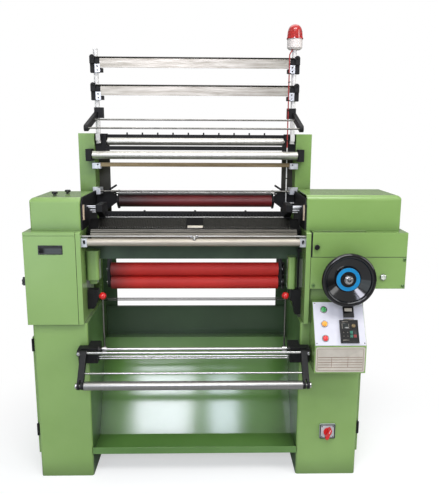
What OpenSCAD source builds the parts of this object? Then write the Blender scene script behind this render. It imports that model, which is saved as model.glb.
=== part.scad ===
// Crochet knitting machine: two sheet-metal columns carry a knitting head, a yarn creel stands
// behind the head, and a pair of rubber rollers draws the finished tape down to a winding roller.
// X runs to the operator's right, Y runs from the operator towards the back, Z runs up.
// The modules are drawn with X = 0 at the middle of the work, Y = 0 at the columns' front faces
// and Z = 0 on the floor. The place() module then moves the middle of the base to the origin.

/* [Columns] */
// Clear width between the two columns
span = 1000; // [900:10:1200]
// Width of the left column
left_col_w = 256; // [230:1:300]
// Width of the right column
right_col_w = 296; // [290:1:340]
// Depth of both columns from front to back
col_depth = 520; // [515:1:580]
// Height of both columns
col_h = 790; // [760:1:840]
// Sheet thickness of columns, covers and hoods
sheet = 4; // [2:0.5:5]
// Radius of the upright edges of the columns
col_r = 12; // [8:1:18]
// Height of the middle of the column doors above the middle of the columns
door_z = 20; // [0:1:40]
// Height of the column doors
door_h = 600; // [560:1:640]
// How far the folded doors stand proud of the columns
door_t = 12; // [10:0.5:16]

/* [Head] */
// Height of the side frames above the columns
frame_h = 435; // [420:1:460]
// Thickness of the cast side frames
frame_t = 22; // [18:1:26]
// Setback of the side frames from the inner faces of the columns
frame_step = 12; // [8:1:16]
// How far the covers stand out in front of the columns
cover_reach = 20; // [14:1:30]
// Rear edge of covers and hoods
cover_back = 340; // [335:1:360]
// How far the left cover overhangs the left column
left_overhang = 14; // [10:1:20]
// How far the drive covers overhang the right column
right_overhang = 181; // [150:1:200]
// Height of the gear case
gear_case_h = 150; // [146:1:160]
// Height of the right column's neck under the gear case
neck_h = 172; // [165:1:180]
// Height of the left hood
left_hood_h = 150; // [140:1:165]
// Height of the right hood
right_hood_h = 164; // [150:1:175]
// Front face of the hoods
hood_y = 40; // [30:1:60]
// Rounding of the hood edges
hood_r = 24; // [10:1:30]

/* [Rear posts and creel] */
// Width of the rear posts
post_w = 80; // [70:1:90]
// Depth of the rear posts
post_d = 110; // [100:1:115]
// Height of the rear posts above the top of the side frames
post_h = 438; // [433:1:470]
// Diameter of the creel uprights
upright_d = 23; // [16:1:24]
// Height of the creel uprights above the top of the posts
creel_h = 411; // [406:1:450]
// Height of the flat yarn bars
yarn_bar_h = 44; // [36:1:48]
// Reach of the creel arms towards the front
arm_reach = 262; // [230:1:290]
// Number of yarn pegs on the top beam
peg_count = 10; // [6:1:12]
// Distance between yarn pegs
peg_pitch = 80; // [60:1:84]

/* [Rollers] */
// Diameter of the rubber take-down rollers
takedown_d = 65; // [60:0.5:70]
// Gap between each column face and the end of the take-down rollers
takedown_margin = 94; // [94:1:120]
// Gap left for the tape between the take-down rollers
nip = 0.6; // [0.5:0.1:1]
// Number of teeth on the take-down gears
gear_teeth = 26; // [22:2:30]
// Diameter of the elastic feed roller
feed_d = 60; // [54:0.5:64]
// Gap between each column face and the end of the elastic feed roller
feed_margin = 108; // [108:1:130]
// Diameter of the press roller on the feed roller
press_d = 26; // [22:0.5:28]
// Diameter of the front tube at the top
front_roller_d = 40; // [34:0.5:44]
// Diameter of the rear tube at the top
rear_roller_d = 38; // [32:0.5:40]
// Diameter of the tape winding roller
takeup_d = 40; // [34:0.5:46]
// Diameter of the ball knobs on the release levers
ball_d = 34; // [28:0.5:34]
// Height of the ball knobs above the lever shaft
lever_l = 266; // [240:1:280]

/* [Knitting elements] */
// Number of guide teeth on the needle bed
bed_teeth = 116; // [60:2:118]
// Diameter of the rounded front bar
front_bar_d = 34; // [30:0.5:36]
// Travel of the needle bar to each side of rest
needle_stroke = 8; // [4:0.5:10]

/* [Drive and controls] */
// Diameter of the handwheel
wheel_d = 244; // [220:1:260]
// Diameter of the main shaft
shaft_d = 30; // [24:0.5:34]
// Diameter of the main pulley
main_pulley_d = 160; // [140:1:170]
// Diameter of the motor pulley
motor_pulley_d = 80; // [70:1:90]
// Diameter of the drive motor
motor_d = 150; // [140:1:160]
// Width of the control box
control_w = 234; // [230:1:240]
// Diameter of the push buttons
button_d = 24; // [20:0.5:26]
// Side of the square main switch plate
switch_w = 76; // [66:1:80]

/* [Fits] */
// Radial clearance of shafts in their bores
fit = 0.05; // [0.03:0.01:0.08]
// Side clearance between parts that turn past each other
side_gap = 0.3; // [0.2:0.05:0.5]

/* [Hidden] */
$fn = 64;
over = 1;

GREEN = [0.48, 0.66, 0.36];
BLACK = [0.1, 0.1, 0.11];
STEEL = [0.76, 0.77, 0.79];
ALLOY = [0.8, 0.78, 0.72];
RED = [0.8, 0.16, 0.14];

// Columns and covers across the machine
half = span / 2;
frame_in = half + frame_step;
frame_out = frame_in + frame_t;
left_out = half + left_col_w;
right_out = half + right_col_w;
cover_y = -cover_reach;
deck_z = col_h + frame_h;
left_cover_x = -(left_out + left_overhang);
right_cover_x = right_out + right_overhang;
case_z = col_h + neck_h;
case_x = frame_out + 2;
case_top = case_z + gear_case_h;
case_wall = 8;
cover_slit = 6;
plate_t = 6;
hood_in = frame_in + plate_t;
hood_inset = 20;
knob_l = 22;

// Rear posts and creel
post_in = half + 15;
post_out = post_in + post_w;
post_y = col_depth - post_d - 10;
post_top = deck_z + post_h;
flange_w = 58;
upright_x = half - 5;
upright_y = post_y + 12;
creel_top = post_top + creel_h;
bar_z = [post_top + 342, post_top + 209];
arm_z = post_top + 102;
arm_end_y = upright_y - arm_reach;
arm_end_z = arm_z - 78;
arm_mid = 0.4;

// Top rollers
front_roller_y = post_y - 50;
front_roller_z = post_top - 107;
rear_roller_y = post_y + 55;
rear_roller_z = post_top - 41;
journal_d = 16;
block_in = half - 38;
brown_z = post_top - 155;

// Elastic feed
feed_y = post_y - 15;
feed_z = deck_z + 96;
feed_l = span - 2 * feed_margin;
feed_gap = 0.4;
press_lean = 10;
press_y = feed_y - press_lean;
press_z = feed_z + sqrt(pow(feed_d / 2 + press_d / 2 + feed_gap, 2) - press_lean * press_lean);
feed_plate_x = feed_l / 2 + 4;
feed_plate_t = 10;
press_arm_l = 50;
press_arm_t = 6;
press_pivot = [press_y + press_arm_l, press_z];
guide_rod_y = post_y - 70;
guide_rod_z = deck_z + 152;

// Needle bed and bars
beam_y = [140, 220];
beam_z = [deck_z - 156, deck_z - 75];
beam_wall = 6;
bed_half = half - 40;
bed_low = [120, deck_z - 9];
bed_high = [180, deck_z + 35];
front_bar_y = 10;
front_bar_z = deck_z - 50;
front_rod_z = deck_z - 24;
bar_y = [235, 260];
bar_top = deck_z + 60;
bar_bottom = deck_z + 33;
head_y = [120, 300];
guide_travel = 12;
push_rod_d = 8;
push_rods = [[150, bar_top + 38], [185, bar_top + 26], [220, bar_top + 10], [262, bar_top - 6]];

// Take-down
nip_y = 150;
nip_z = deck_z - 242;
takedown_l = span - 2 * takedown_margin;
axis_gap = takedown_d + nip;
upper_axis_z = nip_z + axis_gap / 2;
lower_axis_z = nip_z - axis_gap / 2;
bracket_x = takedown_l / 2 + 4;
bracket_t = 12;
takedown_journal_d = 24;
gear_w = 10;

// Release levers and winding
takeup_in = half - 51;
takeup_out = half + 40;
takeup_z = [col_h - 182, col_h - 108];
takeup_front = -40;
arm_t = 28;
arm_w = 26;
arm_x = half - 3;
pivot = [takeup_front - arm_w / 2 - 2, col_h - 125];
winder = [pivot[0] - 95, pivot[1] - 119];
spacer = pivot + 0.63 * (winder - pivot);
pivot_d = 12;
lever_y = 40;
lever_z = col_h - 144;
lever_x = takeup_in - ball_d / 2 - 0.5;
lever_shaft_d = 14;

// Drive
shaft_x = right_out - 107;
shaft_z = case_z + 68;
pulley_y = 184;
belt_w = 22;
belt_t = 8;
belt_gap = 0.3;
motor_x = shaft_x - 39;
motor_z = sheet + motor_d / 2 + 20;
wheel_y = -105;

// Control box: slope of the panel, from its top edge to its bottom edge
control_x = takeup_out + 5;
panel_top = [-40, col_h + 115];
panel_bottom = [-145, col_h - 60];
control_base = col_h - 190;
panel_l = norm(panel_top - panel_bottom);
panel_tilt = atan2(panel_top[1] - panel_bottom[1], panel_top[0] - panel_bottom[0]);
panel_t = 3;
button_x = -68;
button_pitch = 66;
button_first = -38;
button_travel = 4;
switch_at = [half + 150, 234];

// The middle of the base, taken to the origin
reach_front = winder[0] - takeup_d / 2;
base_mid = [(right_cover_x + left_cover_x - knob_l) / 2, (col_depth + reach_front) / 2, 0];

// Shared shapes

module place() {
    translate(-base_mid) children();
}

module both_sides() {
    children();
    mirror([1, 0, 0]) children();
}

module block(x, y, z) {
    translate([x[0], y[0], z[0]]) cube([x[1] - x[0], y[1] - y[0], z[1] - z[0]]);
}

module rod_x(x, y, z, d) {
    translate([x[0], y, z]) rotate([0, 90, 0]) cylinder(d = d, h = x[1] - x[0]);
}

module rod_y(x, y, z, d) {
    translate([x, y[1], z]) rotate([90, 0, 0]) cylinder(d = d, h = y[1] - y[0]);
}

module rod_z(x, y, z, d) {
    translate([x, y, z[0]]) cylinder(d = d, h = z[1] - z[0]);
}

// A flat outline in Y and Z, drawn out along X
module along_x(x) {
    translate([x[0], 0, 0]) rotate([90, 0, 90]) linear_extrude(x[1] - x[0]) children();
}

// A flat outline in X and Z, drawn out along Y
module along_y(y) {
    translate([0, y[1], 0]) rotate([90, 0, 0]) linear_extrude(y[1] - y[0]) children();
}

module rect(a, b) {
    translate([a[0], b[0]]) square([a[1] - a[0], b[1] - b[0]]);
}

module rounded_rect(a, b, r) {
    rect([a[0] + r, a[1] - r], b);
    rect(a, [b[0] + r, b[1] - r]);
    for (x = [a[0] + r, a[1] - r], y = [b[0] + r, b[1] - r]) translate([x, y]) circle(r);
}

// A rectangle with one rounded corner, at the far end of a and the top of b
module one_round(a, b, r) {
    flip = a[0] < a[1] ? 1 : -1;
    rect([min(a[0], a[1] - flip * r), max(a[0], a[1] - flip * r)], b);
    rect([min(a), max(a)], [b[0], b[1] - r]);
    translate([a[1] - flip * r, b[1] - r]) circle(r);
}

function unit(v) = v / norm(v);
function left_of(v) = [-v[1], v[0]];
function bend_normal(p, i) = i == 0 ? left_of(unit(p[1] - p[0]))
    : i == len(p) - 1 ? left_of(unit(p[i] - p[i - 1]))
    : let(a = left_of(unit(p[i] - p[i - 1])), m = unit(a + left_of(unit(p[i + 1] - p[i]))))
      m / (m * a);

// The outline of a folded sheet of thickness t along the bend line p
module folded(p, t) {
    n = len(p) - 1;
    polygon(concat([for (i = [0:n]) p[i] + t / 2 * bend_normal(p, i)],
        [for (i = [n:-1:0]) p[i] - t / 2 * bend_normal(p, i)]));
}

// A bar with round ends between two points of a flat outline
module link(p, q, w) {
    along = unit(q - p);
    side = w / 2 * left_of(along);
    polygon([p + side, p - side, q - side, q + side]);
    translate(p) circle(w / 2);
    translate(q) circle(w / 2);
}

// Columns

door_y = [24, col_depth - 24];
hinge_y = 12;
hinge_out = 7;
hinge_r = 6;
hinge_pin_d = 7;
hinge_h = 40;
hinge_lug_h = 20;
door_low = (col_h - door_h) / 2 + door_z;
hinge_z = [door_low + 100, door_low + door_h - 65];
door_frame = 26;

// Fixed lugs and pins of the two door hinges, on a wall at x that faces outwards by side
module hinge_pins(x, side) {
    for (z = hinge_z) {
        translate([x + side * hinge_out, hinge_y, z]) {
            cylinder(r = hinge_r, h = hinge_lug_h);
            cylinder(d = hinge_pin_d, h = hinge_lug_h + hinge_h);
        }
        block([min(x, x + side * hinge_out), max(x, x + side * hinge_out)],
            [hinge_y - 4, hinge_y + 4], [z, z + hinge_lug_h]);
    }
}

// Opening in a column's outer wall, behind its door
module door_opening(x) {
    block(x, [door_y[0] + door_frame, door_y[1] - door_frame],
        [door_low + door_frame, door_low + door_h - door_frame]);
}

module left_column() {
    color(GREEN) {
        difference() {
            linear_extrude(col_h) rounded_rect([-left_out, -half], [0, col_depth], col_r);
            translate([0, 0, sheet]) linear_extrude(col_h - 2 * sheet)
                rounded_rect([-left_out + sheet, -half - sheet], [sheet, col_depth - sheet],
                    col_r - sheet);
            door_opening([-left_out - over, -left_out + sheet + over]);
        }
        hinge_pins(-left_out, -1);
    }
}

pulley_room = main_pulley_d / 2 + belt_t + 5;
neck_hole_x = [shaft_x - pulley_room, shaft_x + pulley_room];
neck_hole_y = [30, cover_back - 30];

module right_column() {
    color(GREEN) {
        difference() {
            union() {
                linear_extrude(col_h) rounded_rect([half, right_out], [0, col_depth], col_r);
                translate([0, 0, col_h - over]) linear_extrude(neck_h + over)
                    rounded_rect([case_x, right_out], [0, cover_back], col_r);
            }
            translate([0, 0, sheet]) linear_extrude(col_h - 2 * sheet)
                rounded_rect([half + sheet, right_out - sheet], [sheet, col_depth - sheet],
                    col_r - sheet);
            translate([0, 0, col_h - 2 * sheet]) linear_extrude(neck_h + sheet)
                rounded_rect([case_x + sheet, right_out - sheet], [sheet, cover_back - sheet],
                    col_r - sheet);
            block(neck_hole_x, neck_hole_y, [case_z - 2 * sheet, case_z + over]);
            door_opening([right_out - sheet - over, right_out + over]);
        }
        hinge_pins(right_out, 1);
    }
}

// A folded door pan on the outer wall at x, with its hinge knuckles and a latch boss
module door(x, side) {
    gap = 0.5;
    skin = 2;
    near = x + side * gap;
    far = x + side * door_t;
    difference() {
        block([min(near, far), max(near, far)], door_y, [door_low, door_low + door_h]);
        block([min(near - side * over, far - side * skin), max(near - side * over, far - side * skin)],
            [door_y[0] + skin, door_y[1] - skin], [door_low + skin, door_low + door_h - skin]);
    }
    for (z = hinge_z) difference() {
        union() {
            translate([x + side * hinge_out, hinge_y, z + hinge_lug_h + side_gap])
                cylinder(r = hinge_r, h = hinge_h - side_gap);
            block([x + side * hinge_out - 3, x + side * hinge_out + 3],
                [hinge_y, door_y[0] + skin], [z + hinge_lug_h + side_gap, z + hinge_lug_h + hinge_h]);
        }
        translate([x + side * hinge_out, hinge_y, z])
            cylinder(d = hinge_pin_d + 2 * fit, h = hinge_lug_h + hinge_h + over);
    }
    latch_z = door_low + door_h / 2;
    rod_x([min(far, far + side * 8), max(far, far + side * 8)], door_y[1] - 40, latch_z, 26);
}

module left_door() {
    color(GREEN) door(-left_out, -1);
}

module right_door() {
    color(GREEN) door(right_out, 1);
}

// Chute, rear panel, beam and frames

chute_t = 3;
lip_top = 151;
tray_z = 118;
tray_back = 183;
ledge_drop = 230;
ledge = [430, col_h - ledge_drop];
panel_y = [col_depth - 20, col_depth - 17];
window_drop = 68;
panel_z = [ledge[1] - 20, col_h - window_drop];
window_side = 60;

module chute() {
    color(GREEN) along_x([-half, half])
        folded([[chute_t / 2, lip_top], [chute_t / 2, tray_z], [tray_back, tray_z], ledge,
            [panel_y[0], ledge[1]]], chute_t);
}

module rear_panel() {
    color(GREEN) {
        block([-half, half], panel_y, panel_z);
        block([-half, half], [panel_y[0] - 14, panel_y[0]], [panel_z[1] - 3, panel_z[1]]);
        both_sides() block([half - window_side, half], panel_y, [panel_z[1], col_h]);
        both_sides() block([half - window_side, post_in], panel_y, [col_h, beam_z[1]]);
    }
}

module main_beam() {
    color(GREEN) difference() {
        block([-frame_in, frame_in], beam_y, beam_z);
        block([-frame_in - over, frame_in + over],
            [beam_y[0] + beam_wall, beam_y[1] - beam_wall],
            [beam_z[0] + beam_wall, beam_z[1] - beam_wall]);
    }
}

frame_back = post_y - 5;

module side_frames() {
    window = [[beam_y[1] + 20, frame_back - 30], [col_h + 40, deck_z - 50]];
    color(GREEN) both_sides() along_x([frame_in, frame_out]) difference() {
        one_round([frame_back, cover_y], [col_h, deck_z], 6);
        rounded_rect(window[0], window[1], 24);
    }
}

module rear_posts() {
    wall = 4;
    color(GREEN) both_sides() {
        difference() {
            block([post_in, post_out], [post_y, post_y + post_d], [col_h, post_top]);
            block([post_in + wall, post_out - wall], [post_y + wall, post_y + post_d - wall],
                [col_h - over, post_top - wall]);
        }
        block([post_in - flange_w, post_in + wall], [panel_y[1], post_y + post_d],
            [beam_z[1] - 200, post_top - 20]);
    }
}

// Covers and hoods

module left_front_cover() {
    x = [left_cover_x, -frame_out - 2];
    y = [cover_y, cover_back];
    seat = 40;
    color(GREEN) difference() {
        block(x, y, [col_h, deck_z]);
        block([x[0] + sheet, x[1] - sheet], [y[0] + sheet, y[1] - sheet],
            [col_h + sheet, deck_z - sheet]);
        block([x[0] + seat, x[1] - seat], [hood_y + 20, y[1] - seat], [col_h - over, deck_z + over]);
        // Shadow groove under the top tray
        block([x[0] - over, x[1] + over], [y[0] - over, y[0] + 1.5], [deck_z - 17, deck_z - 15]);
        block([x[0] - over, x[0] + 1.5], [y[0] - over, y[1] + over], [deck_z - 17, deck_z - 15]);
    }
}

// Outer form of a hood with rounded front and outer edges; x runs from the work outwards
module hood_form(x, y, z, r) {
    intersection() {
        along_x([min(x), max(x)]) one_round([y[1], y[0]], z, r);
        along_y(y) one_round(x, z, r);
        translate([0, 0, z[0]]) linear_extrude(z[1] - z[0])
            rounded_rect([min(x), max(x)], y, min(r, 8));
    }
}

module hood(x, h) {
    y = [hood_y, cover_back];
    out = x[1] > x[0] ? 1 : -1;
    difference() {
        hood_form(x, y, [deck_z, deck_z + h], hood_r);
        hood_form([x[0] - out * over, x[1] - out * sheet], [y[0] + sheet, y[1] - sheet],
            [deck_z - over, deck_z + h - sheet], hood_r - sheet);
    }
}

module left_hood() {
    color(GREEN) hood([-hood_in, left_cover_x + hood_inset], left_hood_h);
}

module right_hood() {
    color(GREEN) hood([hood_in, right_cover_x - hood_inset], right_hood_h);
}

module right_drive_cover() {
    x = [case_x + cover_slit, right_cover_x];
    y = [cover_y, cover_back];
    well = 16;
    color(GREEN) difference() {
        block(x, y, [case_top, deck_z]);
        block([x[0] + sheet, x[1] - sheet], [y[0] + sheet, y[1] - sheet],
            [case_top - over, deck_z - sheet]);
        block([x[0] + 60, x[1] - 60], [hood_y + 30, y[1] - 40], [case_top, deck_z + over]);
        // Finger well in front of the hood
        block([x[0] + well, x[0] + 250], [cover_y + 18, hood_y - 6], [deck_z - 2, deck_z + over]);
    }
}

bearing_l = 34;

module right_gear_case() {
    x = [case_x, right_cover_x];
    y = [cover_y, cover_back];
    color(GREEN) difference() {
        union() {
            difference() {
                block(x, y, [case_z, case_top]);
                block([x[0] + case_wall, x[1] - case_wall], [y[0] + case_wall, y[1] - case_wall],
                    [case_z + case_wall, case_top + over]);
                block(neck_hole_x, neck_hole_y, [case_z - over, case_top]);
            }
            rod_y(shaft_x, [y[0], y[0] + bearing_l], shaft_z, shaft_d + 34);
            rod_y(shaft_x, [y[1] - bearing_l, y[1]], shaft_z, shaft_d + 34);
        }
        rod_y(shaft_x, [y[0] - over, y[1] + over], shaft_z, shaft_d + 2 * fit);
    }
}

// A mushroom-headed clamp knob that stands on a face along its own Z
module clamp_knob(d) {
    rotate_extrude() polygon([[0, 0], [d * 0.28, 0], [d * 0.28, d * 0.25], [d * 0.5, d * 0.35],
        [d * 0.5, d * 0.6], [d * 0.42, d * 0.68], [0, d * 0.68]]);
}

module cover_knobs() {
    hood_x = left_cover_x + hood_inset;
    star_lobes = 6;
    color(BLACK) {
        translate([hood_x + 95, 130, deck_z + left_hood_h]) clamp_knob(28);
        translate([hood_x + 135, 215, deck_z + left_hood_h]) clamp_knob(28);
        translate([case_x + cover_slit + 18, cover_y, case_top + 48]) rotate([90, 0, 0])
            clamp_knob(24);
        translate([left_cover_x, 20, deck_z - 236]) rotate([0, -90, 0]) {
            cylinder(d = 18, h = knob_l);
            translate([0, 0, 8]) cylinder(d = 30, h = knob_l - 8);
            for (i = [0:star_lobes - 1]) rotate(i * 360 / star_lobes)
                translate([15, 0, 8]) cylinder(d = 11, h = knob_l - 8);
        }
    }
}

// Controls

// Puts a part on the sloping panel: x across, y up the slope from its top edge, z outwards
module on_panel() {
    translate([control_x + control_w / 2, panel_top[0], panel_top[1]])
        rotate([panel_tilt, 0, 0]) children();
}

function box_outline(t) = [[0, control_base + t], [panel_bottom[0] + t, control_base + t],
    [panel_bottom[0] + t, panel_bottom[1] - t / 2], [panel_top[0] + t / 2, panel_top[1] - t],
    [0, panel_top[1] - t]];

module control_box() {
    frame = 10;
    color(GREEN) difference() {
        along_x([control_x, control_x + control_w]) polygon(box_outline(0));
        along_x([control_x + 2, control_x + control_w - 2]) polygon(box_outline(3));
        on_panel() translate([-control_w / 2 + frame, -panel_l + frame, -12])
            cube([control_w - 2 * frame, panel_l - 2 * frame, 12 + over]);
    }
}

function button_y(i) = button_first - i * button_pitch;

module control_panel() {
    margin = 2;
    bezel_d = button_d + 8;
    color([0.9, 0.9, 0.92]) on_panel() difference() {
        union() {
            translate([-control_w / 2 + margin, -panel_l + margin, 0])
                cube([control_w - 2 * margin, panel_l - 2 * margin, panel_t]);
            for (i = [0:2]) translate([button_x, button_y(i), 0])
                cylinder(d = bezel_d, h = panel_t + 4);
        }
        for (i = [0:2]) translate([button_x, button_y(i), -over])
            cylinder(d = button_d + 2 * side_gap, h = panel_t + 4 + 2 * over);
    }
}

module push_button(i, shade) {
    color(shade) on_panel() translate([button_x, button_y(i), 0]) {
        translate([0, 0, -2]) cylinder(d = button_d, h = panel_t + 8);
        translate([0, 0, -5]) cylinder(d = button_d + 4, h = 3 + 1.7);
    }
}

module button_green() {
    push_button(0, [0.2, 0.65, 0.3]);
}

module button_amber() {
    push_button(1, [0.95, 0.62, 0.1]);
}

module button_red() {
    push_button(2, [0.85, 0.15, 0.15]);
}

keypad_at = [41, -140];
keypad = [84, 106];
counter_at = [43, -51];
counter = [48, 50];

module panel_instruments() {
    rim = 5;
    color(BLACK) on_panel() {
        translate([keypad_at[0], keypad_at[1], panel_t]) difference() {
            translate([-keypad[0] / 2, -keypad[1] / 2, 0]) cube([keypad[0], keypad[1], 9]);
            translate([-keypad[0] / 2 + rim, -keypad[1] / 2 + rim, 7])
                cube([keypad[0] - 2 * rim, keypad[1] - 2 * rim, 3]);
        }
        translate([counter_at[0], counter_at[1], panel_t]) difference() {
            translate([-counter[0] / 2, -counter[1] / 2, 0]) cube([counter[0], counter[1], 12]);
            translate([-counter[0] / 2 + rim, 2, 10]) cube([counter[0] - 2 * rim, counter[1] / 2 - 6, 3]);
        }
    }
}

switch_t = 8;

module switch_plate() {
    color([0.72, 0.73, 0.75]) difference() {
        translate([switch_at[0], -switch_t, switch_at[1]]) along_y([0, switch_t])
            rounded_rect([-switch_w / 2, switch_w / 2], [-switch_w / 2, switch_w / 2], 5);
        rod_y(switch_at[0], [-switch_t - over, over], switch_at[1], 12 + 2 * fit);
    }
}

module switch_knob() {
    grip = [16, 58, 24];
    front = -switch_t - side_gap;
    color(RED) {
        rod_y(switch_at[0], [front - over, -2], switch_at[1], 12);
        rod_y(switch_at[0], [front - 8, front], switch_at[1], 40);
        translate([switch_at[0], 0, switch_at[1]]) rotate([0, 20, 0])
            along_y([front - 8 - grip[2], front - 7])
                link([0, -grip[1] / 2 + grip[0] / 2], [0, grip[1] / 2 - grip[0] / 2], grip[0]);
    }
}

// Drive

module handwheel() {
    r = wheel_d / 2;
    rim = 12;
    hub = 56;
    dish = 22;
    color(BLACK) translate([shaft_x, wheel_y, shaft_z]) rotate([90, 0, 0]) difference() {
        rotate_extrude($fn = 128) {
            translate([r - rim, dish]) circle(rim, $fn = 48);
            polygon([[20, -14], [hub, -14], [r - rim, dish - 7], [r - rim, dish + 7], [hub, 2],
                [hub, 6], [34, 6], [34, 10], [20, 10]]);
        }
        translate([0, 0, -40]) cylinder(d = shaft_d + 2 * fit, h = 80);
    }
}

module handwheel_ring() {
    color([0.1, 0.55, 0.8]) translate([shaft_x, wheel_y, shaft_z]) rotate([90, 0, 0])
        translate([0, 0, 6]) difference() {
            cylinder(r = 53, h = 3, $fn = 96);
            translate([0, 0, -over]) cylinder(r = 36, h = 3 + 2 * over, $fn = 96);
        }
}

module main_shaft() {
    color(STEEL) {
        rod_y(shaft_x, [wheel_y - 10, cover_back - 2], shaft_z, shaft_d);
        rod_y(shaft_x, [wheel_y - 18, wheel_y - 10], shaft_z, shaft_d + 10);
        rod_y(shaft_x, [wheel_y - 26, wheel_y - 18], shaft_z, shaft_d - 10);
        rod_y(shaft_x, [wheel_y + 14, cover_y - side_gap], shaft_z, shaft_d + 14);
        pulley(shaft_x, shaft_z, main_pulley_d);
    }
}

// A flat-faced pulley with two flanges, centred on the belt
module pulley(x, z, d) {
    flange = 4;
    rod_y(x, [pulley_y - 1, pulley_y + belt_w + 1], z, d);
    rod_y(x, [pulley_y - 1 - flange, pulley_y - 1], z, d + 2 * belt_t);
    rod_y(x, [pulley_y + belt_w + 1, pulley_y + belt_w + 1 + flange], z, d + 2 * belt_t);
}

module motor_pulley() {
    color(STEEL) {
        pulley(motor_x, motor_z, motor_pulley_d);
        rod_y(motor_x, [pulley_y, motor_y[0] + 30], motor_z, 24);
    }
}

motor_y = [pulley_y + belt_w + 24, pulley_y + belt_w + 24 + 230];

module motor() {
    fins = 18;
    foot = 20;
    color([0.35, 0.42, 0.4]) difference() {
        union() {
            rod_y(motor_x, motor_y, motor_z, motor_d - 12);
            for (i = [0:fins - 1]) translate([motor_x, 0, motor_z]) rotate([0, i * 360 / fins, 0])
                block([-2, 2], [motor_y[0] + 25, motor_y[1] - 50], [0, motor_d / 2]);
            rod_y(motor_x, [motor_y[1] - 46, motor_y[1]], motor_z, motor_d);
            block([motor_x - 60, motor_x + 60], [motor_y[0] + 50, motor_y[1] - 60],
                [sheet, motor_z - motor_d / 2 + foot]);
        }
        rod_y(motor_x, [motor_y[0] - over, motor_y[0] + 32], motor_z, 24 + 2 * fit);
    }
}

module drive_belt() {
    inner = belt_gap;
    outer = belt_gap + belt_t - 2;
    color(BLACK) along_y([pulley_y, pulley_y + belt_w]) difference() {
        hull() {
            translate([shaft_x, shaft_z]) circle(main_pulley_d / 2 + outer);
            translate([motor_x, motor_z]) circle(motor_pulley_d / 2 + outer);
        }
        hull() {
            translate([shaft_x, shaft_z]) circle(main_pulley_d / 2 + inner);
            translate([motor_x, motor_z]) circle(motor_pulley_d / 2 + inner);
        }
    }
}

// Knitting elements

module side_plates() {
    corner = 30;
    strip = [[hood_y + 16, hood_y + 32], [deck_z + 45, deck_z + 115]];
    color(BLACK) both_sides() along_x([frame_in, hood_in]) difference() {
        polygon([[hood_y, deck_z], [frame_back, deck_z], [frame_back, guide_rod_z - 17],
            [post_y - 14, guide_rod_z - 17], [post_y - 14, deck_z + left_hood_h],
            [hood_y + corner, deck_z + left_hood_h], [hood_y, deck_z + left_hood_h - corner]]);
        for (p = push_rods) translate(p) circle(push_rod_d / 2 + fit);
    }
    color(ALLOY) both_sides() block([frame_in - 5, frame_in], strip[0], strip[1]);
}

pin_z = deck_z - 47;
pin_x = bed_half * 0.65;
pin_d = 12;

bed_slope = bed_high - bed_low;
bed_face = norm(bed_slope);
bed_edge = 1;

// Puts a part on the sloping face of the needle bed: y up the slope, z out of the face
module on_bed() {
    translate([0, bed_low[0], bed_low[1]]) rotate([atan2(bed_slope[1], bed_slope[0]), 0, 0]) children();
}

// Comb of guide teeth, drawn out along the slope
module bed_comb() {
    w = 2 * (bed_half - bed_edge);
    pitch = w / bed_teeth;
    floor_h = 0.6;
    tooth_h = 3.5;
    on_bed() translate([-w / 2, bed_face - bed_edge, 0]) rotate([90, 0, 0])
        linear_extrude(bed_face - 2 * bed_edge) polygon(concat([[0, -2], [0, floor_h]],
            [for (i = [0:bed_teeth - 1], p = [[0.2, floor_h], [0.2, tooth_h], [0.75, tooth_h],
                [0.75, floor_h]]) [(i + p[0]) * pitch, p[1]]], [[w, floor_h], [w, -2]]));
}

// Fixed needle bed: a cast rail with a sloping comb and a centre clamp
module needle_bed() {
    clamp_half = 40;
    color(BLACK) {
        difference() {
            along_x([-bed_half, bed_half]) polygon([[beam_y[0] + 10, beam_z[1]],
                [beam_y[1] - 10, beam_z[1]], [beam_y[1] - 10, bed_high[1]], bed_high, bed_low,
                [bed_low[0], bed_low[1] - 11], [beam_y[0] + 10, bed_low[1] - 11]]);
            both_sides() rod_y(pin_x, [beam_y[0], beam_y[1]], pin_z, pin_d + 2 * fit);
        }
        bed_comb();
        both_sides() along_x([bed_half - 3, half + 4]) polygon([[beam_y[0], beam_z[1]],
            [beam_y[1] - 15, beam_z[1]], [beam_y[1] - 15, bed_high[1] - 4], [bed_high[0], bed_high[1] - 4],
            [bed_low[0] - 14, bed_low[1] - 6], [bed_low[0] - 14, bed_low[1] - 26],
            [beam_y[0], bed_low[1] - 46]]);
        on_bed() translate([-clamp_half, 3, -2]) cube([2 * clamp_half, bed_face - 8, 11]);
    }
}

// Needle bar: a stepped alloy rail on two guide pins
module needle_bar() {
    y = [40, 75];
    rail_half = half - 22;
    step = 7;
    color(ALLOY) {
        along_x([-rail_half, rail_half]) polygon([[y[0], deck_z - 21], [y[0], deck_z - 13],
            [y[0] + step, deck_z - 13], [y[0] + step, deck_z - 6], [y[0] + 2 * step, deck_z - 6],
            [y[0] + 2 * step, deck_z + 1], [y[1], deck_z + 1], [y[1], pin_z - 12],
            [y[1] - 12, pin_z - 12], [y[1] - 12, deck_z - 21]]);
        both_sides() rod_y(pin_x, [y[1] - 1, beam_y[1] - 10 + needle_stroke], pin_z, pin_d);
    }
}

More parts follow.
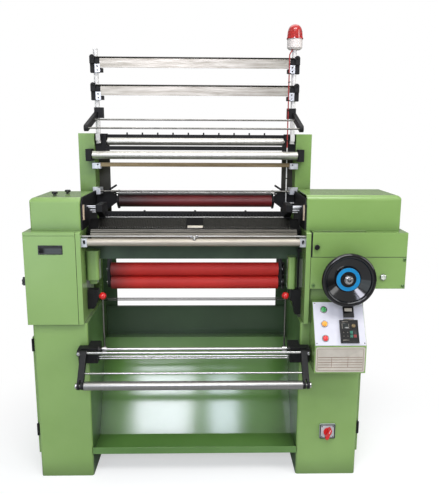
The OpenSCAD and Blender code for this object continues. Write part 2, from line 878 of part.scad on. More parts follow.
// Guide bar with its end heads and the push rods that reach through the side plates
module guide_bars() {
    head_x = [half - 62, half - 32];
    head_z = [bar_bottom - 6, bar_top + 46];
    bolt_pitch = 250;
    color(BLACK) {
        block([-head_x[0], head_x[0]], bar_y, [bar_bottom, bar_top]);
        for (i = [-1:1]) rod_z(i * bolt_pitch, (bar_y[0] + bar_y[1]) / 2, [bar_top - 1, bar_top + 6], 10);
        rod_x([-head_x[0], head_x[0]], bar_y[0] - 12, bar_bottom + 2, 6);
        both_sides() along_x(head_x) polygon([[head_y[0] + 14, head_z[0] + 46],
            [beam_y[1] - 8, bed_high[1] + 3], [beam_y[1] - 8, head_z[0]], [bar_y[1] + 26, head_z[0]],
            [bar_y[1] + 26, head_z[1] - 30],
            [bar_y[1], head_z[1]], [head_y[0] + 14, head_z[1]]]);
    }
    color(STEEL) both_sides() for (p = push_rods)
        rod_x([head_x[1] - 10, hood_in + guide_travel + 16], p[0], p[1], push_rod_d);
}

module front_bar() {
    end = half - 14;
    color(ALLOY) difference() {
        rod_x([-end, end], front_bar_y, front_bar_z, front_bar_d);
        block([-end - over, end + over], [front_bar_y + front_bar_d / 4, front_bar_y + front_bar_d],
            [front_bar_z - front_bar_d, front_bar_z + front_bar_d]);
    }
}

// Zinc brackets that hold bars and rods on the frames and posts
module bar_brackets() {
    color([0.82, 0.83, 0.85]) both_sides() {
        // Ends of the front bar
        block([half - 14, frame_in], [front_bar_y - 14, front_bar_y + 14],
            [front_bar_z - 20, front_bar_z + 18]);
        // Guide rod in front of the feed roller
        difference() {
            union() {
                block([half - 22, half - 2], [guide_rod_y - 12, post_y],
                    [guide_rod_z - 15, guide_rod_z + 15]);
                block([half - 2, post_in + 14], [post_y - 12, post_y], [guide_rod_z - 15, guide_rod_z + 15]);
            }
            rod_x([half - 23, half - 1], guide_rod_y, guide_rod_z, 10 + 2 * fit);
        }
        // Flat bar under the front tube
        block([half - 20, post_in + 6], [post_y - 44, post_y], [brown_z - 20, brown_z + 8]);
        // Tabs in front of the yarn bars
        for (z = bar_z) block([bar_end - 2, upright_x + 2], [bar_front - bar_t - 4, bar_front - bar_t],
            [z - yarn_bar_h / 2 - 24, z - 6]);
        for (z = bar_z) block([bar_end + 2, upright_x], [bar_front - bar_t, bar_front],
            [z - yarn_bar_h / 2 - 16, z - 10]);
    }
}

guard_rod_y = 300;
guard_rods = [24, 33];

// Straight fixed rods: front rod, feed guide rod, winding rod, rear guard rods and the flat bar
module cross_rods() {
    color(STEEL) {
        rod_x([-frame_in, frame_in], 18, front_rod_z, 9);
        rod_x([-half + 2, half - 2], guide_rod_y, guide_rod_z, 10);
        for (z = [16, 26.5]) rod_x([-takeup_in, takeup_in], takeup_front / 2, takeup_z[0] + z, 7);
        for (z = guard_rods) rod_x([-frame_in, frame_in], guard_rod_y, col_h + z, 6);
        block([-half + 20, half - 20], [post_y - 38, post_y - 22], [brown_z - 10, brown_z + 10]);
    }
}

// Take-down

module takedown_brackets() {
    lobe = 25;
    color(BLACK) both_sides() difference() {
        along_x([bracket_x, bracket_x + bracket_t]) union() {
            link([nip_y, upper_axis_z], [nip_y, lower_axis_z], 2 * lobe);
            polygon([[nip_y - lobe, upper_axis_z], [nip_y + lobe, upper_axis_z],
                [beam_y[1], beam_z[0]], [beam_y[0], beam_z[0]]]);
        }
        for (z = [upper_axis_z, lower_axis_z]) rod_x([bracket_x - over, bracket_x + bracket_t + over],
            nip_y, z, takedown_journal_d + 2 * fit);
    }
}

function involute(r, a) = r * [cos(a) + a * PI / 180 * sin(a), sin(a) - a * PI / 180 * cos(a)];
function turn(p, a) = [p[0] * cos(a) - p[1] * sin(a), p[0] * sin(a) + p[1] * cos(a)];

// Outline of a spur gear with involute flanks, one tooth on the +X axis
module spur_gear(teeth, pitch_r) {
    m = 2 * pitch_r / teeth;
    pressure = 20;
    backlash = 0.25;
    base_r = pitch_r * cos(pressure);
    tip_r = pitch_r + 0.85 * m;
    root_r = pitch_r - 1.2 * m;
    steps = 4;
    tip_roll = sqrt(pow(tip_r / base_r, 2) - 1) * 180 / PI;
    pitch_turn = tan(pressure) * 180 / PI - pressure;
    half_tooth = 90 / teeth - backlash / pitch_r * 90 / PI + pitch_turn;
    flank = [for (i = [0:steps]) turn(involute(base_r, tip_roll * i / steps), -half_tooth)];
    foot = root_r * [cos(half_tooth), -sin(half_tooth)];
    half_outline = concat([foot], flank);
    outline = concat(half_outline, [for (i = [len(half_outline) - 1:-1:0])
        [half_outline[i][0], -half_outline[i][1]]]);
    polygon([for (k = [0:teeth - 1], p = outline) turn(p, k * 360 / teeth)]);
}

gear_x = bracket_x + bracket_t + 4;

module takedown_roller(z, gear_turn) {
    rod_x([-takedown_l / 2, takedown_l / 2], nip_y, z, takedown_d);
    rod_x([-gear_x, gear_x + gear_w + 4], nip_y, z, takedown_journal_d);
    translate([gear_x, nip_y, z]) rotate([90, 0, 90]) linear_extrude(gear_w)
        rotate(gear_turn) spur_gear(gear_teeth, axis_gap / 2);
}

module takedown_roller_upper() {
    color(RED) takedown_roller(upper_axis_z, -90);
}

module takedown_roller_lower() {
    color(RED) takedown_roller(lower_axis_z, 90 + 180 / gear_teeth);
}

drive_rod_x = half - 2;
drive_rod_y = 100;
drive_rod_d = 9;
ratchet_z = [col_h + 16, col_h + 138];
drive_rod_top = deck_z - 99;

module ratchet_blocks() {
    x = [half - 37, frame_in];
    y = [drive_rod_y - 20, drive_rod_y + 30];
    lug = 14;
    color(BLACK) {
        difference() {
            union() {
                along_y(y) polygon([[x[0], ratchet_z[1]], [x[1], ratchet_z[1]], [x[1], ratchet_z[0]],
                    [x[0] + 22, ratchet_z[0]], [x[0] + 12, ratchet_z[0] + 60], [x[0], ratchet_z[0] + 70]]);
                block([drive_rod_x - 9, frame_in], [drive_rod_y - 9, drive_rod_y + 9],
                    [drive_rod_top - lug, drive_rod_top]);
            }
            rod_z(drive_rod_x, drive_rod_y, [ratchet_z[1] - 42, drive_rod_top + over], drive_rod_d + 2 * fit);
        }
        mirror([1, 0, 0]) along_y(y) polygon([[x[0], ratchet_z[1]], [x[1], ratchet_z[1]],
            [x[1], ratchet_z[0] + 30], [x[0] + 20, ratchet_z[0] + 30], [x[0], ratchet_z[0] + 80]]);
    }
}

module drive_rod() {
    color(BLACK) rod_z(drive_rod_x, drive_rod_y, [ratchet_z[1] - 40, drive_rod_top + 5], drive_rod_d);
}

module drive_boxes() {
    y = [70, beam_y[0]];
    color(GREEN) {
        translate([0, 0, deck_z - 290]) linear_extrude(155)
            rounded_rect([half - 54, half - 16], y, 14);
        translate([0, 0, deck_z - 245]) linear_extrude(140)
            rounded_rect([-frame_in, -half + 48], y, 14);
        translate([0, 0, deck_z - 265]) linear_extrude(20)
            rounded_rect([-frame_in + 12, -half + 36], [y[0] + 12, y[1] - 12], 6);
    }
}

// Elastic feed

module feed_brackets() {
    color(BLACK) both_sides() {
        difference() {
            along_x([feed_plate_x, feed_plate_x + feed_plate_t]) union() {
                link([feed_y, feed_z], [feed_y + 30, feed_z - 22], 40);
                link([feed_y + 30, feed_z - 22], press_pivot, 22);
            }
            rod_x([feed_plate_x - over, feed_plate_x + feed_plate_t + over], feed_y, feed_z,
                journal_d + 2 * fit);
        }
        rod_x([feed_plate_x + feed_plate_t - 1, feed_plate_x + feed_plate_t + press_arm_t + 6],
            press_pivot[0], press_pivot[1], 8);
        along_y([post_y + 2, post_y + 10]) polygon([[feed_plate_x + feed_plate_t - 1, feed_z + 22],
            [feed_plate_x + feed_plate_t + 24, feed_z + 44], [post_in, feed_z + 44],
            [post_in, feed_z - 58], [post_in - 40, feed_z - 58],
            [feed_plate_x + feed_plate_t - 1, feed_z - 6]]);
    }
}

module feed_roller() {
    color([0.45, 0.1, 0.1]) {
        rod_x([-feed_l / 2, feed_l / 2], feed_y, feed_z, feed_d);
        rod_x([-feed_plate_x - feed_plate_t, feed_plate_x + feed_plate_t], feed_y, feed_z, journal_d);
    }
}

module press_roller() {
    reach = feed_plate_x + feed_plate_t + side_gap + press_arm_t;
    color(STEEL) {
        rod_x([-feed_l / 2, feed_l / 2], press_y, press_z, press_d);
        rod_x([-reach, reach], press_y, press_z, 10);
    }
}

module press_levers() {
    x = feed_plate_x + feed_plate_t + side_gap;
    hub_x = [half - 54, half - 30];
    grip = [half - 84, press_z + 34];
    color(BLACK) both_sides() difference() {
        union() {
            along_x([x, x + press_arm_t]) link([press_y, press_z], press_pivot, 18);
            rod_x([x + press_arm_t - 1, hub_x[1]], press_pivot[0], press_pivot[1], 14);
            rod_x(hub_x, press_pivot[0], press_pivot[1], 28);
            along_y([press_pivot[0] - 4, press_pivot[0] + 4])
                link([hub_x[0] + 10, press_z + 8], grip, 10);
        }
        rod_x([x - over, x + press_arm_t + 6 + fit], press_pivot[0], press_pivot[1], 8 + 2 * fit);
        rod_x([x - over, x + press_arm_t + over], press_y, press_z, 10 + 2 * fit);
    }
}

// Top rollers

module top_roller_frame() {
    block_y = [post_y + 25, post_y + 100];
    block_z = [post_top - 103, post_top - 1];
    color(BLACK) {
        both_sides() {
            difference() {
                union() {
                    block([block_in, post_in], block_y, block_z);
                    block([upright_x - 15, upright_x + 15], [upright_y - 14, block_y[0]],
                        [post_top - 35, post_top - 5]);
                    block([post_in + 4, post_in + 32], [front_roller_y - 22, post_y],
                        [front_roller_z - 30, front_roller_z + 30]);
                }
                rod_z(upright_x, upright_y, [post_top - 36, post_top], upright_d + 2 * fit);
                rod_x([block_in - over, post_in - 20], rear_roller_y, rear_roller_z, journal_d + 2 * fit);
                rod_x([post_in + 3, post_in + 33], front_roller_y, front_roller_z, journal_d + 2 * fit);
            }
        }
        block([-block_in, block_in], [block_y[1] - 22, block_y[1] - 2], [post_top - 22, post_top - 5]);
        block([-block_in, block_in], [block_y[0] + 2, block_y[0] + 18], [post_top - 84, post_top - 64]);
        for (i = [0:peg_count - 1]) rod_z((i - (peg_count - 1) / 2) * peg_pitch, block_y[1] - 12,
            [post_top - 6, post_top + 5], 8);
    }
}

module top_front_roller() {
    color(STEEL) {
        rod_x([-post_in, post_in], front_roller_y, front_roller_z, front_roller_d);
        rod_x([-post_in - 32, post_in + 32], front_roller_y, front_roller_z, journal_d);
    }
}

module top_rear_roller() {
    color(STEEL) {
        rod_x([-block_in + 7, block_in - 7], rear_roller_y, rear_roller_z, rear_roller_d);
        rod_x([-block_in - 14, block_in + 14], rear_roller_y, rear_roller_z, journal_d);
    }
}

// Creel

module creel_uprights() {
    color([0.88, 0.88, 0.88]) both_sides() rod_z(upright_x, upright_y, [post_top - 50, creel_top], upright_d);
}

bar_rod_d = 8;
bar_t = 4;
bar_rod_up = (yarn_bar_h + bar_rod_d) / 2 + side_gap;
bar_front = upright_y - upright_d / 2 - 4;
bar_end = upright_x - 22;

// Cast clamp of one yarn bar: head with the rod, arm behind the bar and foot under its edge
module yarn_bar_clamp(z) {
    head = 13;
    low = z - yarn_bar_h / 2;
    difference() {
        union() {
            along_y([bar_front, upright_y + 16]) union() {
                rect([upright_x - 16, upright_x + 2 * head], [low - 24, z + bar_rod_up]);
                translate([upright_x + head, z + bar_rod_up]) circle(head);
                rect([bar_end - 24, upright_x - 15], [z - 12, z + 18]);
                rect([bar_end - 12, upright_x - 15], [low - 22, low - 2]);
            }
            along_y([bar_front - 12, bar_front + over]) union() {
                translate([upright_x + head, z + bar_rod_up]) circle(head);
                rect([upright_x + 4, upright_x + 2 * head], [z - 4, z + bar_rod_up]);
            }
        }
        rod_z(upright_x, upright_y, [low - 25, z + bar_rod_up + 2 * head], upright_d + 2 * fit);
        rod_x([bar_end - 25, upright_x + head + fit], bar_front, z + bar_rod_up, bar_rod_d + 2 * fit);
    }
}

// Cast arm that reaches forward from an upright and holds two rods
module creel_arm() {
    difference() {
        union() {
            block([upright_x - 30, upright_x + 14], [upright_y - 16, upright_y + 16],
                [arm_z - 26, arm_z + 26]);
            along_x([upright_x - 4, upright_x + 14])
                link([upright_y, arm_z - 8], [arm_end_y, arm_end_z], 30);
        }
        rod_z(upright_x, upright_y, [arm_z - 60, arm_z + 60], upright_d + 2 * fit);
        for (p = arm_rods) rod_x([upright_x - 31, upright_x + 10 + fit], p[0], p[1], bar_rod_d + 2 * fit);
    }
}

module creel_clamps() {
    color(BLACK) both_sides() {
        for (z = bar_z) yarn_bar_clamp(z);
        creel_arm();
    }
}

// Where the two rods pass through the creel arms, in Y and Z
arm_rods = [[upright_y, arm_z - 8] + arm_mid * [arm_end_y - upright_y, arm_end_z - arm_z + 8],
    [arm_end_y, arm_end_z]];

module creel_bars() {
    color(ALLOY) for (z = bar_z)
        block([-bar_end, bar_end], [bar_front - bar_t, bar_front], [z - yarn_bar_h / 2, z + yarn_bar_h / 2]);
    color(STEEL) {
        for (z = bar_z) rod_x([-upright_x - 13, upright_x + 13], bar_front, z + bar_rod_up, bar_rod_d);
        for (p = arm_rods) rod_x([-upright_x - 10, upright_x + 10], p[0], p[1], bar_rod_d);
    }
}

lamp_d = 75;
lamp_base_h = 50;
lamp_z = creel_top + 2;

module lamp_base() {
    color([0.88, 0.86, 0.84]) translate([upright_x, upright_y, lamp_z]) difference() {
        rotate_extrude() polygon([[0, 0], [lamp_d / 2 - 8, 0], [lamp_d / 2, 8],
            [lamp_d / 2, lamp_base_h], [0, lamp_base_h]]);
        translate([0, 0, -over]) cylinder(d = upright_d + 2, h = 3);
    }
    color([0.88, 0.86, 0.84]) rod_z(upright_x, upright_y, [creel_top, lamp_z + 2], upright_d - 4);
}

module lamp_dome() {
    flange_r = lamp_d / 2 + 3.5;
    shoulder = 36;
    top_r = lamp_d / 2 - 3;
    ribs = 20;
    color(RED) translate([upright_x, upright_y, lamp_z + lamp_base_h]) {
        rotate_extrude() {
            rect([0, flange_r], [0, 5]);
            polygon([[0, 5], [lamp_d / 2, 5], [top_r, shoulder], [0, shoulder]]);
            translate([0, shoulder]) intersection() {
                circle(top_r);
                rect([0, top_r], [0, top_r]);
            }
        }
        for (i = [0:ribs - 1]) rotate(i * 360 / ribs) along_y([-1.8, 1.8])
            polygon([[20, 4], [lamp_d / 2 + 1.4, 4], [top_r + 1.4, shoulder], [top_r - 4, shoulder + 8],
                [20, shoulder + 8]]);
    }
}

// Lamp cable: tied down the right upright in front of the yarn bars, then into the side plate
cable_d = 6;
cable_x = upright_x - 27;
cable_y = bar_front - bar_t - cable_d / 2 - 0.5;
cable_low = feed_z - 9;
cable_route = [[upright_x - 13, upright_y - 12, lamp_z], [upright_x - 13, upright_y - 12, lamp_z - 5],
    [cable_x, cable_y, creel_top - 22], [cable_x, cable_y, creel_top - 40],
    [cable_x, cable_y, cable_low + 20], [cable_x, cable_y, cable_low],
    [frame_in - 8, cable_y, cable_low], [frame_in, cable_y, cable_low]];

// Corner cutting: each pass rounds the bends of a route and keeps its two ends
function cut_corners(p, passes) = passes == 0 ? p
    : cut_corners(concat([p[0]], [for (i = [0:len(p) - 2], k = [0.25, 0.75])
        if (!(i == 0 && k < 0.5) && !(i == len(p) - 2 && k > 0.5)) p[i] + k * (p[i + 1] - p[i])],
        [p[len(p) - 1]]), passes - 1);

// A round tube of diameter d swept along a route that never runs straight towards the back
module swept_tube(route, d, sides) {
    n = len(route);
    rings = [for (i = [0:n - 1]) let(
        t = unit(route[min(i + 1, n - 1)] - route[max(i - 1, 0)]),
        u = unit(cross(t, [0, 1, 0])),
        v = cross(t, u))
        for (k = [0:sides - 1]) route[i] + d / 2 * (cos(k * 360 / sides) * u + sin(k * 360 / sides) * v)];
    polyhedron(rings, concat([[for (k = [0:sides - 1]) k]],
        [[for (k = [sides - 1:-1:0]) (n - 1) * sides + k]],
        [for (i = [0:n - 2], k = [0:sides - 1]) let(j = (k + 1) % sides)
            each [[i * sides + k, (i + 1) * sides + k, i * sides + j],
                [i * sides + j, (i + 1) * sides + k, (i + 1) * sides + j]]]));
}

module lamp_cable() {
    color([0.75, 0.2, 0.2]) swept_tube(cut_corners(cable_route, 2), cable_d, 10);
}

// Winding and release levers

module takeup_brackets() {
    lug_x = [arm_x + arm_t + side_gap, takeup_out];
    color(BLACK) both_sides() difference() {
        union() {
            block([takeup_in, takeup_out], [takeup_front, 0], takeup_z);
            block([takeup_in, half], [takeup_front, lever_y + 22], [lever_z - 30, takeup_z[1]]);
            along_x(lug_x) union() {
                rect([pivot[0], takeup_front], [pivot[1] - 15, pivot[1] + 15]);
                translate(pivot) circle(15);
            }
            rod_x([arm_x + side_gap, takeup_out - 4], pivot[0], pivot[1], pivot_d);
        }
        rod_x([takeup_in - over, half - 14], lever_y, lever_z, lever_shaft_d + 2 * fit);
    }
}

module takeup_arms() {
    rod_d = 12;
    color(BLACK) both_sides() difference() {
        along_x([arm_x, arm_x + arm_t]) union() {
            link(pivot, winder, arm_w);
            translate(winder) circle(18);
        }
        rod_x([arm_x + arm_t / 2 - 3, arm_x + arm_t / 2 + 3], winder[0], winder[1], 54);
        rod_x([arm_x + side_gap - 0.1, arm_x + arm_t + over], pivot[0], pivot[1], pivot_d + 2 * fit);
        rod_x([arm_x - over, arm_x + arm_t + over], winder[0], winder[1], journal_d + 2 * fit);
    }
    color(STEEL) {
        rod_x([-arm_x, arm_x], pivot[0], pivot[1], rod_d);
        rod_x([-arm_x, arm_x], spacer[0], spacer[1], 8);
    }
}

module takeup_roller() {
    color(STEEL) {
        rod_x([-arm_x + 4, arm_x - 4], winder[0], winder[1], takeup_d);
        rod_x([-arm_x - arm_t - 8, arm_x + arm_t + 8], winder[0], winder[1], journal_d);
    }
}

module release_levers() {
    lever_d = 9;
    color(STEEL) {
        rod_x([-half + 16, half - 16], lever_y, lever_z, lever_shaft_d);
        both_sides() {
            rod_x([lever_x - 11, lever_x + 11], lever_y, lever_z, 30);
            rod_z(lever_x, lever_y, [lever_z, lever_z + lever_l - ball_d / 2 + 4], lever_d);
        }
    }
}

module lever_knobs() {
    color(RED) both_sides() translate([lever_x, lever_y, lever_z + lever_l]) difference() {
        sphere(d = ball_d);
        translate([0, 0, -ball_d]) cylinder(d = 9 + 2 * fit, h = ball_d / 2 + 4 + fit);
    }
}

place() left_column();
place() right_column();
place() side_frames();
place() chute();
place() rear_panel();
place() main_beam();
place() rear_posts();
place() left_front_cover();
place() left_hood();
place() right_hood();
place() right_drive_cover();
place() right_gear_case();
place() cover_knobs();
place() control_box();
place() control_panel();
place() panel_instruments();
place() switch_plate();
place() takedown_brackets();
place() ratchet_blocks();
place() drive_boxes();
place() takeup_brackets();
place() cross_rods();
place() top_roller_frame();
place() creel_uprights();
place() creel_clamps();
place() creel_bars();
place() lamp_base();
place() lamp_dome();
place() lamp_cable();
place() feed_brackets();
place() side_plates();
place() needle_bed();
place() front_bar();
place() bar_brackets();
place() motor();
place() drive_belt();
place() left_door();
place() right_door();
place() handwheel();
place() handwheel_ring();
place() main_shaft();
place() motor_pulley();
place() button_green();
place() button_amber();
place() button_red();
place() switch_knob();
place() takedown_roller_upper();
place() takedown_roller_lower();
place() feed_roller();
place() press_roller();
place() press_levers();
place() release_levers();
place() lever_knobs();
place() takeup_arms();
place() takeup_roller();
place() top_front_roller();
place() top_rear_roller();
place() needle_bar();
place() guide_bars();
place() drive_rod();
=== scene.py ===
# %% [markdown]
# A crochet knitting machine, dressed for a studio picture. The solids come from the part's own
# drawing and stay as they are: here they get their finishes, and the small trim that a drawing
# leaves out is modelled on top of them. The first cell loads the solids. Each of them keeps its
# place in its mesh, so every new piece can be put where the drawing says, with no fitting.

# %% Load the machine
import math

import bmesh
import bpy
from mathutils import Matrix, Vector


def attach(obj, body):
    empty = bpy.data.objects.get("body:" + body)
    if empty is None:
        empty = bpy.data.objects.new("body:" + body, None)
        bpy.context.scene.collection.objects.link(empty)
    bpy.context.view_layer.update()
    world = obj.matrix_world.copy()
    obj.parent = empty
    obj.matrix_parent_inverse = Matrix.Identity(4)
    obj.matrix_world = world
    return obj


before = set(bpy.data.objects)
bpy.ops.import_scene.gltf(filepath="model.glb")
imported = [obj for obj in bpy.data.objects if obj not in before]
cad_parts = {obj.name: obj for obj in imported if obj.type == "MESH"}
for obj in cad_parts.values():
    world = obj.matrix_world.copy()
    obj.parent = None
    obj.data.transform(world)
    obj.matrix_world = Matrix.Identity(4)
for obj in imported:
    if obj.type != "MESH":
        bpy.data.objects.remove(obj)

scene = bpy.context.scene
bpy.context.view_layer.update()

# %% [markdown]
# The drawing is in millimetres from the middle of the work, the front of the columns and the
# floor. The scene is in metres from the middle of the base. Two small helpers go from one to the
# other, so that all the numbers below can be read off the drawing.

# %% Millimetres of the drawing, metres of the scene
MIDDLE = Vector((92.5, 175.0, 0.0))


def spot(x, y, z):
    return (Vector((x, y, z)) - MIDDLE) / 1000


def drawn(point):
    return point * 1000 + MIDDLE


print("work centre on the floor:", tuple(spot(0, 0, 0)))

# %% [markdown]
# The camera stands where the photographer stood: a little left of the middle, 1.65 m up and
# about 2.5 m in front, looking 11 degrees down. It is placed by its own three directions, which
# is easier to keep exact than turning it by hand, and the small roll and shift are the picture's.

# %% Camera
YAW, PITCH, ROLL = math.radians(1.317), math.radians(11.35), math.radians(-0.288)
STAND = Vector((-0.0224, -2.7074, 1.6637))
LENS, SENSOR, SHIFT = 46.27, 36, -0.0057
ahead = Vector((math.sin(YAW) * math.cos(PITCH), math.cos(YAW) * math.cos(PITCH), -math.sin(PITCH)))
level = Vector((math.cos(YAW), -math.sin(YAW), 0))
right = level * math.cos(ROLL) + ahead.cross(level) * math.sin(ROLL)
bpy.ops.object.camera_add()
camera = bpy.context.object
camera.name = "photo_camera"
turn = Matrix((right, -ahead.cross(right), -ahead)).transposed().to_4x4()
turn.translation = STAND
camera.matrix_world = turn
camera.data.sensor_fit = "HORIZONTAL"
camera.data.sensor_width = SENSOR
camera.data.lens = LENS
camera.data.shift_x = SHIFT
scene.camera = camera
print("lens", round(camera.data.lens, 2), "mm")

# %% [markdown]
# Light. The picture is an even shot on white, lit from high in front, so the columns are bright and
# the deep bay between them is dark. Two lamps stand where the windows were: the sloping sheet of the
# bay sends the camera's view up to them, and its gloss paint shows them as two soft white patches.

# %% Lamps
def soft_lamp(name, place, aim, size, watts, tint=(1, 1, 1)):
    bpy.ops.object.light_add(type="AREA", location=place)
    lamp = bpy.context.object
    lamp.name = name
    lamp.data.shape = "RECTANGLE"
    lamp.data.size, lamp.data.size_y = size
    lamp.data.energy = watts
    lamp.data.color = tint
    lamp.rotation_euler = (Vector(aim) - Vector(place)).to_track_quat("-Z", "Y").to_euler()
    return lamp


soft_lamp("window_one", (-0.6, -3.68, 2.6), (-0.15, 0.05, 0.4), (0.74, 0.86), 36, (0.86, 0.86, 1))
soft_lamp("window_two", (0.16, -3.68, 2.55), (0, 0.05, 0.4), (0.36, 0.76), 13, (0.78, 0.82, 1))
soft_lamp("pale_wall", (-2.3, -3.7, 1.3), (-0.5, -0.2, 0.9), (1.9, 2.6), 24, (0.8, 0.92, 1))
soft_lamp("high_front", (0.2, -2.5, 4.7), (0, -0.1, 0.9), (3.2, 1.8), 128)
soft_lamp("ceiling", (0, 1.4, 4.4), (0, 0.3, 1), (3.0, 2.4), 34)
soft_lamp("side_right", (3.4, -1.6, 2.4), (0.3, 0, 1), (1.6, 2.2), 44)

# %% [markdown]
# The white behind the machine is not made by more light. Light Path tells the world who is looking:
# the camera sees plain white, and what mirrors the room sees greys with a darker band just above the
# horizon, because polished rods look like metal only if they have something dark to mirror. All
# other rays get a weak, even room light.

# %% World
MIRRORED_ROOM = ((0.0, 0.5), (0.49, 0.46), (0.56, 0.22), (0.68, 0.7), (0.9, 0.62))
ROOM_TINT = (0.93, 0.97, 1, 1)
ROOM_LEVEL = 0.2

world = bpy.data.worlds.new("studio")
scene.world = world
world.use_nodes = True
sky, wire = world.node_tree.nodes, world.node_tree.links
direction = sky.new("ShaderNodeTexCoord")
parts = sky.new("ShaderNodeSeparateXYZ")
band = sky.new("ShaderNodeValToRGB")
for place, shade in MIRRORED_ROOM:
    stop = band.color_ramp.elements[0] if place == 0 else band.color_ramp.elements.new(place)
    stop.position, stop.color = place, (shade, shade, shade, 1)
height = sky.new("ShaderNodeMapRange")
height.inputs["From Min"].default_value = -1
seen = sky.new("ShaderNodeLightPath")
mirror_light = sky.new("ShaderNodeBackground")
camera_light = sky.new("ShaderNodeBackground")
camera_light.inputs["Color"].default_value = (1, 1, 1, 1)
room_light = sky.new("ShaderNodeBackground")
room_light.inputs["Color"].default_value = ROOM_TINT
room_light.inputs["Strength"].default_value = ROOM_LEVEL
glossy = sky.new("ShaderNodeMath")
glossy.operation = "MAXIMUM"
pick_mirror = sky.new("ShaderNodeMixShader")
pick_camera = sky.new("ShaderNodeMixShader")
wire.new(direction.outputs["Generated"], parts.inputs[0])
wire.new(parts.outputs["Z"], height.inputs["Value"])
wire.new(height.outputs["Result"], band.inputs["Fac"])
wire.new(band.outputs["Color"], mirror_light.inputs["Color"])
wire.new(seen.outputs["Is Glossy Ray"], glossy.inputs[0])
wire.new(seen.outputs["Is Transmission Ray"], glossy.inputs[1])
wire.new(glossy.outputs[0], pick_mirror.inputs["Fac"])
wire.new(room_light.outputs[0], pick_mirror.inputs[1])
wire.new(mirror_light.outputs[0], pick_mirror.inputs[2])
wire.new(seen.outputs["Is Camera Ray"], pick_camera.inputs["Fac"])
wire.new(pick_mirror.outputs[0], pick_camera.inputs[1])
wire.new(camera_light.outputs[0], pick_camera.inputs[2])
wire.new(pick_camera.outputs[0], sky["World Output"].inputs["Surface"])
scene.view_settings.view_transform = "Standard"
print("world:", world.name, "with", len(MIRRORED_ROOM), "greys to mirror")

# %% [markdown]
# The floor is pale near the machine, where its shadow falls, and fades into the white further out.
# A diffuse grey alone would look dirty beside the white, so a glow that only the camera sees is added
# to it, and by distance from the middle a white one takes over.

# %% Floor
FLOOR_GREY = (0.6, 0.6, 0.6, 1)
FLOOR_GLOW = 0.5
FADE_FROM, FADE_TO = 0.75, 1.7

bpy.ops.object.select_all(action="DESELECT")
bpy.ops.mesh.primitive_plane_add(size=60, location=(0, 0, 0))
floor = bpy.context.object
floor.name = "studio_floor"
floor_paint = bpy.data.materials.new("floor_paint")
floor_paint.use_nodes = True
tree = floor_paint.node_tree
plain = tree.nodes["Principled BSDF"]
plain.inputs["Base Color"].default_value = FLOOR_GREY
plain.inputs["Roughness"].default_value = 0.9
plain.inputs["Specular IOR Level"].default_value = 0.1
glow = tree.nodes.new("ShaderNodeEmission")
path = tree.nodes.new("ShaderNodeLightPath")
share = tree.nodes.new("ShaderNodeMath")
share.operation = "MULTIPLY"
share.inputs[1].default_value = FLOOR_GLOW
near = tree.nodes.new("ShaderNodeAddShader")
far = tree.nodes.new("ShaderNodeEmission")
place = tree.nodes.new("ShaderNodeTexCoord")
distance = tree.nodes.new("ShaderNodeVectorMath")
distance.operation = "LENGTH"
fade = tree.nodes.new("ShaderNodeMapRange")
fade.interpolation_type = "SMOOTHSTEP"
fade.inputs["From Min"].default_value = FADE_FROM
fade.inputs["From Max"].default_value = FADE_TO
far_seen = tree.nodes.new("ShaderNodeMath")
far_seen.operation = "MULTIPLY"
whole = tree.nodes.new("ShaderNodeMixShader")
tree.links.new(path.outputs["Is Camera Ray"], share.inputs[0])
tree.links.new(share.outputs[0], glow.inputs["Strength"])
tree.links.new(plain.outputs[0], near.inputs[0])
tree.links.new(glow.outputs[0], near.inputs[1])
tree.links.new(place.outputs["Object"], distance.inputs[0])
tree.links.new(distance.outputs["Value"], fade.inputs["Value"])
tree.links.new(fade.outputs["Result"], far_seen.inputs[0])
tree.links.new(path.outputs["Is Camera Ray"], far_seen.inputs[1])
tree.links.new(far_seen.outputs[0], whole.inputs["Fac"])
tree.links.new(near.outputs[0], whole.inputs[1])
tree.links.new(far.outputs[0], whole.inputs[2])
tree.links.new(whole.outputs[0], tree.nodes["Material Output"].inputs["Surface"])
floor.data.materials.append(floor_paint)
print("floor fades to white between", FADE_FROM, "and", FADE_TO, "m")

# %% [markdown]
# Finishes. Every finish on this machine has the same few things: two shades that drift into each
# other in patches, a sheen that isn't quite even, a fine grain that only shows as bumps, and
# edges that catch the light because real edges are never sharp. One helper builds that from
# noise on Object coordinates, and each finish below says only how much of each it has. A Bevel
# node rounds the edges in the shading alone, so the solids keep their exact shape, and where it
# turns the surface most, an edge tone is painted: mostly a painted highlight, partly thin or rubbed
# paint. An Ambient Occlusion node finds the corners and the deep places, and a darker tone is painted
# there as shade. The rubber rollers lie in shade at their left end, so a finish can also drift into a
# darker tone along X, which is painted shade too.

# %% The finish helper
def card(red, green, blue):
    def linear(v):
        v /= 255
        return v / 12.92 if v <= 0.04045 else ((v + 0.055) / 1.055) ** 2.4
    return linear(red), linear(green), linear(blue), 1.0


def add_node(tree, kind, **values):
    node = tree.nodes.new("ShaderNode" + kind)
    for name, value in values.items():
        if hasattr(node, name):
            setattr(node, name, value)
        else:
            node.inputs[name.replace("_", " ")].default_value = value
    return node


